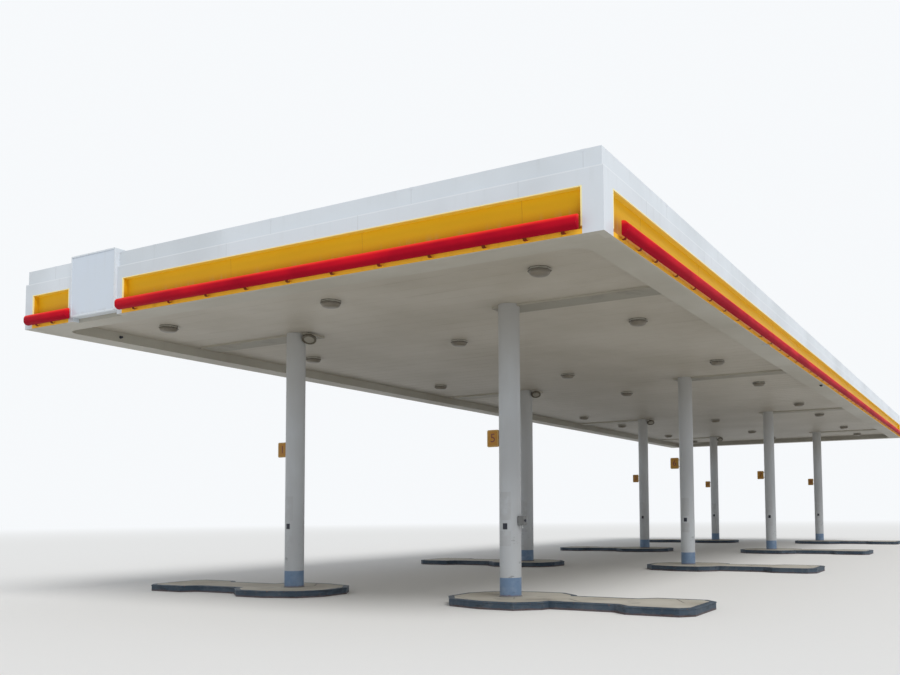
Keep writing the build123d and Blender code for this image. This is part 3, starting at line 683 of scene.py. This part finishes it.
# Light bar: each length has rounded ends and a shallow groove at the joints between its tubes
bar = {"back": 0.06, "front": 0.145, "round": 0.068, "steps": 9, "pitch": 2.44, "groove": 0.016,
       "depth": 0.0016, "flank": 0.0012, "nose": 0.006, "noseStep": 0.3, "overrun": 0.015, "inset": 0.014,
       "sideInset": 0.1, "signGap": 0.0006}


def barProfile(shrink):
    # A rectangle whose two front corners are quarter circles, drawn in on all sides
    r = bar["round"] - shrink
    angle = np.linspace(0, np.pi / 2, bar["steps"])
    back, front = bar["back"] + shrink, bar["front"] - shrink
    bottom, top = canopy["barBottom"] + shrink, canopy["barTop"] - shrink
    upper = np.stack([front - r + r * np.sin(angle), top - r + r * np.cos(angle)], -1)
    lower = np.stack([front - r + r * np.cos(angle), bottom + r - r * np.sin(angle)], -1)
    return np.concatenate([upper, lower, [(back, bottom), (back, top)]])


def barEnds(side, low, high):
    if side in ("east", "west"):
        return low + bar["sideInset"], high - bar["sideInset"]
    if side == "front" and high < sign["left"]:
        return low - bar["overrun"], sign["left"] - bar["signGap"]
    return low + bar["inset"], high - bar["inset"]


def barStations(low, high):
    # Places along a bar, and how far its section is drawn in at each: nose, grooves, nose
    count = max(1, round((high - low) / bar["pitch"]))
    middles = low + (high - low) * np.arange(1, count) / count
    half, flank, depth = bar["groove"] / 2, bar["flank"], bar["depth"]
    cuts = (middles[:, None] + [-half - flank, -half, half, half + flank]).ravel()
    nose = bar["nose"] * np.array([0, bar["noseStep"], 1])
    places = np.concatenate([low + nose, cuts, high - nose[::-1]])
    shrinks = np.concatenate([nose[::-1], np.tile([0, depth, depth, 0], count - 1), nose])
    return places, shrinks


def barTubes():
    # The section is placed at each station along the bar, and the stations are joined
    tubes = []
    for side, (_, outward, length, _) in sides.items():
        for low, high in sideRuns(side):
            places, shrinks = barStations(*barEnds(side, low, high))
            section = np.array([barProfile(shrink) for shrink in shrinks])
            points = onSide(side, 0) + places[:, None, None] * np.array(length)
            points = points + section @ np.array((outward, (0, 0, 1)))
            index = np.arange(points.size // 3).reshape(points.shape[:2])
            if np.dot(np.cross(outward, (0, 0, 1)), length) > 0:
                index = index[:, ::-1]
            tubes.append((points, closedFaces(index)))
    piece = addPiece("bar_tubes", *joined(*tubes), "bar_red", "bar_red", smooth=True)
    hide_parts("light_bars")


barTubes()


def boltProfile(radius, height):
    # Bolt heads: a washer under a six-sided head
    return [(radius * 1.5, 0), (radius * 1.5, height * 0.22), (radius, height * 0.22),
            (radius, height * 0.86), (radius * 0.82, height)]


# Two bolts through the lip at each strap
lipBolts = {"radius": 0.006, "height": 0.006, "up": 4.784, "apart": 0.028, "spacing": 0.8128,
            "corner": (0.225, 0.740, 1.325), "besideSign": (0.365,)}


def bracketPlaces(side, low, high):
    # The same places as the brackets: close together at a corner, then evenly spread
    corner, besideSign = lipBolts["corner"], lipBolts["besideSign"]
    first = [low + p for p in (besideSign if side == "front" and low > sign["left"] else corner)]
    last = [high - p for p in (besideSign if side == "front" and high < sign["left"] else corner)]
    stretch = last[-1] - first[-1]
    if stretch < lipBolts["spacing"]:
        return [low + corner[0], high - besideSign[0]]
    count = max(1, round(stretch / lipBolts["spacing"]))
    return first[:-1] + [first[-1] + stretch * n / count for n in range(count + 1)] + last[:-1]


def lipBoltSet():
    head = boltProfile(lipBolts["radius"], lipBolts["height"])
    sets = []
    for side, (_, outward, _, _) in sides.items():
        places = [place for low, high in sideRuns(side) for place in bracketPlaces(side, low, high)]
        centres = [onSide(side, place + way * lipBolts["apart"] / 2, 0, lipBolts["up"])
                   for place in places for way in (-1, 1)]
        axis = 0 if outward[0] else 1
        sets.append(turnedSet(head, centres, 6, axis, outward[axis]))
    addPiece("lip_bolts", *joined(*sets), "cove_yellow", "bracket_dark")


lipBoltSet()
print("bar trim made")


# Soffit: a low bead along each pan joint
beads = {"width": 0.010, "flat": 0.4, "drop": 0.0018, "endGap": 0.01, "columnGap": 0.004}


def panBeads():
    # A low trapezium carried across the deck; where a column stands it stops and starts again behind it
    w, z = beads["width"] / 2, canopy["soffit"]
    flat, foot = w * beads["flat"], z - beads["drop"]
    reach = canopy["innerX"] - beads["endGap"]
    clear = canopy["columnRadius"] + beads["columnGap"]
    spans = []
    for y in panJointYs:
        near = np.abs(y - lineYs).min()
        cuts = [-reach, reach]
        if near < clear:
            gap = math.sqrt(clear ** 2 - near ** 2)
            cuts[1:1] = [x + way * gap for x in (-canopy["columnX"], canopy["columnX"]) for way in (-1, 1)]
        spans += [(y, a, b) for a, b in zip(cuts[::2], cuts[1::2])]
    starts = [((a, y, 0), (0, 1, 0), (1, 0, 0)) for y, a, b in spans]
    beadSet = sweptSet([(-w, z), (-flat, foot), (flat, foot), (w, z)], starts, [b - a for _, a, b in spans])
    addPiece("pan_joint_beads", *beadSet, "deck_paint", "deck_paint")


# Pan clips on the ribs above: a foot plate beside the joist's flange, a toe over the flange and a bolt
clips = {"length": 0.05, "width": 0.034, "sheet": 0.004, "flange": 0.05, "gap": 0.001, "beamGap": 0.13,
         "toe": 0.016, "toeUp": 0.009, "toeSheet": 0.003, "toeInset": 0.006, "bolt": (0.007, 0.009),
         "boltAt": (0.006, 0, 0.012)}


def panClips():
    ys = panJointYs[np.abs(panJointYs[:, None] - lineYs).min(1) > clips["beamGap"]]
    x, y = [a.ravel() for a in np.meshgrid(purlinXs, ys)]
    z = np.full_like(x, canopy["steel"])
    width, length, toe = clips["width"], clips["length"] / 2, clips["toe"]
    foot = np.stack([x + clips["flange"] + width / 2 + clips["gap"], y, z], -1)
    half = np.array([width / 2, length, 0])
    toes = np.stack([x + clips["flange"] - toe, y, z + clips["toeUp"]], -1)
    toeHalf = np.array([toe + width, length - clips["toeInset"], 0])
    plates = boxSet(np.stack([foot - half, foot + half + [0, 0, clips["sheet"]]], 1))
    tongues = boxSet(np.stack([toes - toeHalf * [0.5, 1, 1], toes + toeHalf + [0, 0, clips["toeSheet"]]], 1))
    bolts = turnedSet(boltProfile(*clips["bolt"]), foot + clips["boltAt"], 6)
    addPiece("pan_clips", *joined(plates, tongues, bolts), "zinc", "steel_primer")


panBeads()
panClips()
print("pan joints and clips made")


# Steel joints: bolts through beam flange and cap plate, and cleats that tie the purlins to the beams
capBolts = {"out": (0.19, 0.062), "headUp": 0.016, "nutDown": 0.0203, "head": (0.013, 0.018),
            "nut": (0.013, 0.022)}
cleats = {"sheet": 0.010, "low": 5.045, "high": 5.235, "reach": 0.17, "web": 0.0035, "beamWeb": 0.0052,
          "boltOut": 0.135, "boltUps": (5.08, 5.14, 5.2), "bolt": (0.010, 0.013)}


def steelJoints():
    outX, outY = capBolts["out"]
    flat = [(x + a * outX, y + b * outY) for x, y in columnSpots for a in (-1, 1) for b in (-1, 1)]
    heads = [(x, y, canopy["steel"] + capBolts["headUp"]) for x, y in flat]
    nuts = [(x, y, canopy["steel"] - capBolts["nutDown"]) for x, y in flat]
    plates, boltSpots = [], []
    for y in lineYs:
        for way in (-1, 1):
            for x in purlinXs + cleats["web"]:
                outer = x + cleats["sheet"]
                plates.append(((x, y + way * cleats["beamWeb"], cleats["low"]),
                               (outer, y + way * cleats["reach"], cleats["high"])))
                boltSpots += [(outer, y + way * cleats["boltOut"], z) for z in cleats["boltUps"]]
    sets = [turnedSet(boltProfile(*capBolts["head"]), heads, 6),
            turnedSet(boltProfile(*capBolts["nut"]), nuts, 6, outward=-1),
            boxSet(plates), turnedSet(boltProfile(*cleats["bolt"]), boltSpots, 6, axis=0)]
    addPiece("steel_joints", *joined(*sets), "steel_primer", "steel_primer")


steelJoints()


# Gutter outlets: a domed strainer over each drop, in line with the columns
outlets = {"x": 5.24, "floor": 4.780, "radius": 0.055}


def gutterOutlets():
    r = outlets["radius"]
    profile = [(r * 1.25, 0), (r * 1.25, 0.004), (r, 0.005), (r * 0.97, 0.02), (r * 0.8, 0.042),
               (r * 0.45, 0.057), (r * 0.12, 0.06)]
    centres = [(s * outlets["x"], y, outlets["floor"]) for s in (-1, 1) for y in lineYs]
    addPiece("gutter_strainers", *turnedSet(profile, centres, 16), "zinc", "gutter_sheet", smooth=True)


gutterOutlets()
print("steel joints and outlets made")


# Luminaires: a painted collar under the deck, an eight-sided rim and a deep glass dish inside it
luminaires = {"radius": 0.175, "rim": 0.054, "dish": 0.114, "x": (-3.83, 0.0, 3.83),
              "offsets": ((-1.70, 2.09), (-2.11, 1.80), (-2.07, 1.53), (-2.09, 1.70))}


def downlightSet():
    # The dish is a flattened quarter ellipse turned round the axis, from the rim down to its foot
    top = canopy["soffit"] - 0.0003
    ys = [y + step for y, steps in zip(lineYs, luminaires["offsets"]) for step in steps]
    centres = [(x, y, top) for x in luminaires["x"] for y in ys]
    r, rim, dish = luminaires["radius"], luminaires["rim"], luminaires["dish"]
    flange, collar = canopy["lampFlange"], canopy["lampCollar"]
    pan = [(r * 0.93, 0), (r * 0.94, -0.002), (r * 0.94, 0.001 - flange), (r * 0.90, -flange),
           (r * 0.90, -collar), (r, 0.001 - collar), (r, -0.006 - collar), (r * 0.95, 0.004 - rim),
           (r * 0.92, -rim), (r * 0.88, 0.001 - rim)]
    panSet = turnedSet(pan, centres, 8, twist=np.pi / 8)
    housing = addPiece("downlight_pans", *panSet, "light_housing", "light_housing")
    steps = np.linspace(0, np.pi / 2 * 0.97, 8)
    glass = np.stack([r * 0.88 * np.cos(steps) ** 0.55, -rim - (dish - rim) * np.sin(steps)], -1)
    glass = np.concatenate([[(r * 0.88, 0.004 - rim)], glass])
    addPiece("downlight_lenses", *turnedSet(glass, centres, 24), "lens", "light_housing", smooth=True)
    screws = [(x + r * 0.9 * math.cos(a), y + r * 0.9 * math.sin(a), z - rim + 0.001)
              for x, y, z in centres for a in (np.pi / 4, np.pi * 5 / 4)]
    screwSet = turnedSet([(0.006, 0), (0.006, -0.003), (0.003, -0.005)], screws, 8)
    addPiece("downlight_screws", *screwSet, "zinc", "light_housing")
    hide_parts("downlights")


downlightSet()

# Round fittings beside the west columns, each tilted towards the front on a short stem
drums = {"radius": 0.135, "depth": 0.055, "tilt": math.radians(30), "toward": (0.55, -0.835),
         "beside": 0.322, "top": 4.8947, "hang": 0.105}


def drumSet():
    # Each is turned about an upright axis, which is then laid along the way that the face looks
    slant, (a, b) = drums["tilt"], drums["toward"]
    look = np.array((math.sin(slant) * a, math.sin(slant) * b, -math.cos(slant)))
    across = np.array((-b, a, 0)) / math.hypot(a, b)
    axes = np.stack([np.cross(across, look), across, look])
    r, d = drums["radius"], drums["depth"]
    casing, casingFaces = turnedSet([
        (r * 0.45, -d), (r * 0.86, -d * 0.9), (r, -d * 0.6), (r, 0), (r * 0.96, d * 0.08),
        (r * 0.74, d * 0.08), (r * 0.72, -d * 0.1)], (0, 0, 0), 24)
    face, faceFaces = turnedSet([
        (r * 0.72, -d * 0.12), (r * 0.6, d * 0.06), (r * 0.35, d * 0.16), (r * 0.08, d * 0.2)], (0, 0, 0), 24)
    stem = [(0.055, 0), (0.055, -0.005), (0.024, -0.007), (0.024, -drums["hang"] + d * 0.5)]
    casings, faces = [], []
    for y in lineYs:
        foot = np.array((drums["beside"] - canopy["columnX"], y, drums["top"]))
        centre = foot - (0, 0, drums["hang"])
        casings += [(casing @ axes + centre, casingFaces), turnedSet(stem, foot, 12)]
        faces.append((face @ axes + centre, faceFaces))
    body = addPiece("drum_bodies", *joined(*casings), "speaker_grey", "speaker_grey", smooth=True)
    addPiece("drum_lenses", *joined(*faces), "drumFace", "speaker_grey", smooth=True)
    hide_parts("speakers")


drumSet()
print("luminaires made")


# Number flags: a cream border and a plain numeral on both faces
flags = {"width": 0.22, "height": 0.285, "thickness": 0.022, "bottom": 2.575, "gap": 0.03, "border": 0.014,
         "inset": 0.006, "numeralHeight": 0.15, "sizeForHeight": 1.38, "lift": 0.0012}


def numeralMesh(number, face, centre):
    # Flat text is made a mesh, stood up, turned to its face and moved to its place
    curve = bpy.data.curves.new(f"numeral_{number}", "FONT")
    curve.body = str(number)
    curve.size = flags["numeralHeight"] * flags["sizeForHeight"]
    curve.align_x = "CENTER"
    curve.align_y = "CENTER"
    curve.extrude = flags["lift"] / 2
    text = bpy.data.objects.new("numeral", curve)
    bpy.context.scene.collection.objects.link(text)
    bpy.context.view_layer.update()
    mesh = bpy.data.meshes.new_from_object(text.evaluated_get(bpy.context.evaluated_depsgraph_get()))
    bpy.data.objects.remove(text)
    turn = Matrix.Rotation(math.pi / 2, 4, "X")
    if face > 0:
        turn = Matrix.Rotation(math.pi, 4, "Z") @ turn
    mesh.transform(Matrix.Translation(centre) @ turn)
    mesh.materials.clear()
    mesh.materials.append(finishes["numeral"])
    return mesh


def flagFaces():
    # The border is four thin boxes round each face
    w, h, b = flags["width"] / 2 - flags["inset"], flags["height"] / 2 - flags["inset"], flags["border"]
    bars = ((-w, w, h - b, h), (-w, w, -h, b - h), (-w, b - w, b - h, h - b), (w - b, w, b - h, h - b))
    z = flags["bottom"] + flags["height"] / 2
    borders = []
    for number, (columnX, y) in enumerate(columnSpots, 1):
        x = columnX - canopy["columnRadius"] - flags["gap"] - flags["width"] / 2
        for face in (-1, 1):
            near = y + face * flags["thickness"] / 2
            far = near + face * flags["lift"]
            borders += [((x + x0, near, z + z0), (x + x1, far, z + z1)) for x0, x1, z0, z1 in bars]
            mesh = numeralMesh(number, face, (x, (near + far) / 2, z))
            piece = bpy.data.objects.new(f"flag_numeral_{number}_{'a' if face < 0 else 'b'}", mesh)
            bpy.context.scene.collection.objects.link(piece)
            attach(piece, "root")
    addPiece("flag_borders", *boxSet(borders), "cream", "flag_yellow")


flagFaces()
print("number flags made")


# Columns: a sealant ring on the slab and bare label sheets
seal = {"profile": ((0.016, 0), (0.013, 0.007), (0.006, 0.012), (0, 0.014))}
labels = {"sheets": ((1.36, 1.82), (0.94, 1.185)), "angles": (232, 303), "dark": ((1.21, 1.31),),
          "darkAngles": (257, 284), "lift": 0.0008, "steps": 7}


def columnRings():
    centres = [(x, y, canopy["islandTop"]) for x, y in columnSpots]
    profile = [(canopy["columnRadius"] + out, up) for out, up in seal["profile"]]
    addPiece("column_seals", *turnedSet(profile, centres, 32), "seal", "column_paint", smooth=True)


def curvedSheets(name, spans, angles, finish):
    # Sheets bent round a column: a thin upright rectangle carried along an arc just over the paint
    angle = np.radians(np.linspace(*angles, labels["steps"]))[:, None]
    radius = canopy["columnRadius"] + labels["lift"] * np.array([1, 1, 0, 0])
    faces = closedFaces(np.arange(4 * len(angle)).reshape(-1, 4))
    sets = []
    for x, y in columnSpots:
        for low, high in spans:
            level = np.array([high, low, low, high]) + 0 * angle
            points = np.stack([x + radius * np.cos(angle), y + radius * np.sin(angle), level], -1)
            sets.append((points, faces))
    addPiece(name, *joined(*sets), finish, "column_paint")


columnRings()
curvedSheets("column_labels", labels["sheets"], labels["angles"], "label")
curvedSheets("column_dark_labels", labels["dark"], labels["darkAngles"], "darkLabel")
print("column trim made")


# Islands: a rolled rim round the top of the kerb and cover strips at its joints
island = {
    "outline": ((1.34, 0.30), (1.62, 0.70), (2.28, 0.90), (2.90, 0.90), (3.25, 0.61), (3.30, 0.48),
                (4.39, 0.48), (4.63, 0.68), (5.45, 0.68), (5.63, 0.50)),
    "rim": 0.011, "rimUp": 0.106, "rimFlat": 0.7, "rimSeat": 0.004,
    "jointCorners": [4, 5, 14, 15], "strip": 0.012, "stripOut": 0.0015, "stripUps": (0.002, 0.094),
}


def mitres(path):
    # Directions of the corners: the mean of the two edge normals, lengthened so that the edges stay parallel
    edge = np.roll(path, -1, 0) - path
    edge /= np.linalg.norm(edge, axis=1)[:, None]
    normal = np.stack([edge[:, 1], -edge[:, 0]], -1)
    before = np.roll(normal, 1, 0)
    return (normal + before) / (1 + np.sum(normal * before, 1))[:, None]


def kerbTrim():
    # The rim is a half ellipse with a flat back, carried round the outline along its mitres
    half = np.array(island["outline"])
    path = np.concatenate([half, half[::-1] * [1, -1]])[::-1]  # anticlockwise, so that the normals point out
    out = mitres(path)
    r, seat = island["rim"], island["rimSeat"]
    angle = np.linspace(-np.pi / 2, np.pi / 2, 7)
    arc = np.stack([r * island["rimFlat"] * np.cos(angle), r * np.sin(angle)], -1)
    arc = np.concatenate([arc, [(-seat, r), (-seat, -r)]])
    flat = path + out * arc[:, :1, None]
    level = np.broadcast_to(island["rimUp"] + arc[:, 1:, None], flat.shape[:2] + (1,))
    ring = np.concatenate([flat, level], -1)
    index = np.arange(ring.size // 3).reshape(ring.shape[:2])
    faces = ringFaces(np.concatenate([index, index[:1]])).tolist()
    corners = path[island["jointCorners"]] + out[island["jointCorners"]] * island["stripOut"]
    w, (low, high) = island["strip"] / 2, island["stripUps"]
    rims, strips = [], []
    for s in (-1, 1):
        for y in lineYs:
            rims.append((ring * [s, s, 1] + [0, y, 0], faces))
            strips += [((a - w, b - w, low), (a + w, b + w, high)) for a, b in corners * s + [0, y]]
    addPiece("kerb_rims", *joined(*rims), "kerb_paint", "kerb_paint")
    addPiece("kerb_joint_strips", *boxSet(strips), "kerb_paint", "kerb_paint")


kerbTrim()
print("kerb trim made")


# Sign cabinet: screws round its rim and a drip lip below
signParts = {"screwInset": 0.012, "screws": 6, "lipInset": 0.01, "lipOuts": (0.004, 0.010),
             "lipUps": (-0.010, 0.004)}


def signTrim():
    y, inset, count = sign["face"], signParts["screwInset"], signParts["screws"]
    xs = np.linspace(sign["left"] + inset, sign["right"] - inset, count)
    zs = np.linspace(sign["bottom"] + inset, sign["top"] - inset, count)
    spots = [(x, y, z) for x in xs for z in zs[[0, -1]]] + [(x, y, z) for z in zs[1:-1] for x in xs[[0, -1]]]
    screws = turnedSet([(0.005, -0.002), (0.005, 0.001), (0.003, 0.002)], spots, 8, axis=1, outward=-1)
    addPiece("sign_screws", *screws, "zinc", "sign_frame")
    lipOuts, lipUps = signParts["lipOuts"], signParts["lipUps"]
    lip = [(sign["left"] + signParts["lipInset"], y + lipOuts[0], sign["bottom"] + lipUps[0]),
           (sign["right"] - signParts["lipInset"], y + lipOuts[1], sign["bottom"] + lipUps[1])]
    addPiece("sign_drip_lip", *boxSet(lip), "sign_frame", "sign_frame")


signTrim()


# Small fittings of the soffit: a blank plate, a sensor hood and a capped pipe stub, each on what carries it
fittings = {"plate": (5.48, -8.95), "plateHalf": (0.06, 0.11), "screwInset": 0.014, "hood": (5.42, -2.64),
            "hoodHalf": (0.035, 0.05), "stub": (-15.48, 4.842), "stubRadius": 0.016}


def soffitFittings():
    # A box with turned screws, a swept hood and a turned stub
    low, (x, y), (w, d) = canopy["bottom"], fittings["plate"], fittings["plateHalf"]
    plate = boxSet([(x - w, y - d, low - 0.004), (x + w, y + d, low + 0.001)])
    a, b = w - fittings["screwInset"], d - fittings["screwInset"]
    heads = turnedSet([(0.006, 0.001), (0.006, -0.003), (0.003, -0.005)],
                      [(x + i * a, y + j * b, low - 0.003) for i in (-1, 1) for j in (-1, 1)], 8)
    addPiece("blank_plate", *joined(plate, heads), "zinc", "deck_paint")
    (x, y), (w, d) = fittings["hood"], fittings["hoodHalf"]
    hood = [(-w, 0.001), (-w, -0.012), (-w * 0.3, -0.038), (w * 0.5, -0.038), (w, -0.018), (w, 0.001)]
    start = (x, y - d, low), (1, 0, 0), (0, 1, 0)
    addPiece("sensor_hood", *sweptSet(hood, [start], [2 * d]), "darkLabel", "deck_paint")
    (y, z), r = fittings["stub"], fittings["stubRadius"]
    stub = turnedSet([(r * 1.7, -0.001), (r * 1.7, 0.006), (r, 0.008), (r, 0.03), (r * 1.25, 0.032),
                      (r * 1.25, 0.052), (r, 0.057)], [(-canopy["innerX"], y, z)], 16, axis=0)
    addPiece("pipe_stub", *stub, "darkLabel", "deck_paint")


soffitFittings()

# Switch box: a lid with four screws, a knob and a short conduit nipple
boxParts = {"lid": 0.004, "lidInset": 0.012, "screwInset": 0.022, "seat": 0.001}


def boxTrim():
    low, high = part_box("stop_box")
    front, inset, screwInset = high.x + boxParts["lid"], boxParts["lidInset"], boxParts["screwInset"]
    x, y, z = (low + high) / 2
    lid = boxSet([(high.x - boxParts["seat"], low.y + inset, low.z + inset),
                  (front, high.y - inset, high.z - inset)])
    spots = [(front, b, c) for b in (low.y + screwInset, high.y - screwInset)
             for c in (low.z + screwInset, high.z - screwInset)]
    screws = turnedSet([(0.004, 0), (0.004, 0.002), (0.002, 0.003)], spots, 8, axis=0)
    addPiece("box_lid", *joined(lid, screws), "box_grey", "box_grey")
    knob = [(0.016, 0), (0.016, 0.006), (0.024, 0.010), (0.024, 0.018), (0.018, 0.024)]
    addPiece("box_knob", *turnedSet(knob, (front, y, z), 20, axis=0), "darkLabel", "box_grey")
    nipple = [(0.013, 0), (0.013, -0.03), (0.017, -0.03), (0.017, -0.045)]
    addPiece("box_nipple", *turnedSet(nipple, (x, y, low.z), 12), "zinc", "box_grey")


boxTrim()
print("sign and box trim made")


# Stage: a pale floor that keeps the shadow, a pale world and one soft sun
stage = {"floor": (0.80, 0.80, 0.79), "floorRadius": 260, "floorDrop": 0.002, "haze": (30, 110),
         "sky": (0.93, 0.95, 0.97), "skyLight": (0.93, 0.96, 1), "world": 0.56,
         "sun": 1.9, "sunAngle": 30, "sunColour": (1.0, 0.985, 0.965), "sunTurn": (42, 0, 58)}


def buildStage():
    bpy.ops.mesh.primitive_circle_add(vertices=96, radius=stage["floorRadius"], fill_type="NGON",
                                      location=(0, 0, -stage["floorDrop"]))
    floor = bpy.context.object
    floor.name = "floor"
    p = Paint("floorPale")
    away = p.add("ShaderNodeVectorMath", {"operation": "LENGTH"}, {0: p.place}, output="Value")
    far = p.rise(away, *stage["haze"]) * p.add("ShaderNodeLightPath", output="Is Camera Ray")
    matte = p.add("ShaderNodeBsdfDiffuse", sockets={"Color": (*stage["floor"], 1)})
    glow = p.add("ShaderNodeEmission", sockets={"Color": (*stage["sky"], 1), "Strength": 1.0})
    both = p.add("ShaderNodeMixShader", sockets={0: far, 1: matte, 2: glow})
    p.add("ShaderNodeOutputMaterial", sockets={"Surface": both})
    floor.data.materials.append(p.owner)

    sky = Nodes(bpy.data.worlds.new("paleSky"))
    camera, glossy, through = (sky.add("ShaderNodeLightPath", output=f"Is {kind} Ray")
                               for kind in ("Camera", "Glossy", "Transmission"))
    lit = sky.add("ShaderNodeBackground", sockets={
        "Color": (*stage["skyLight"], 1), "Strength": stage["world"]})
    shown = sky.add("ShaderNodeBackground", sockets={"Color": (*stage["sky"], 1), "Strength": 1.0})
    seen = camera.highest(glossy).highest(through)
    both = sky.add("ShaderNodeMixShader", sockets={0: seen, 1: lit, 2: shown})
    sky.add("ShaderNodeOutputWorld", sockets={"Surface": both})
    bpy.context.scene.world = sky.owner

    sun = bpy.data.objects.new("softSun", bpy.data.lights.new("softSun", "SUN"))
    sun.data.energy = stage["sun"]
    sun.data.angle = math.radians(stage["sunAngle"])
    sun.data.color = stage["sunColour"]
    sun.rotation_euler = [math.radians(v) for v in stage["sunTurn"]]
    bpy.context.scene.collection.objects.link(sun)
    bpy.context.scene.view_settings.view_transform = "Standard"


buildStage()
print("stage built")
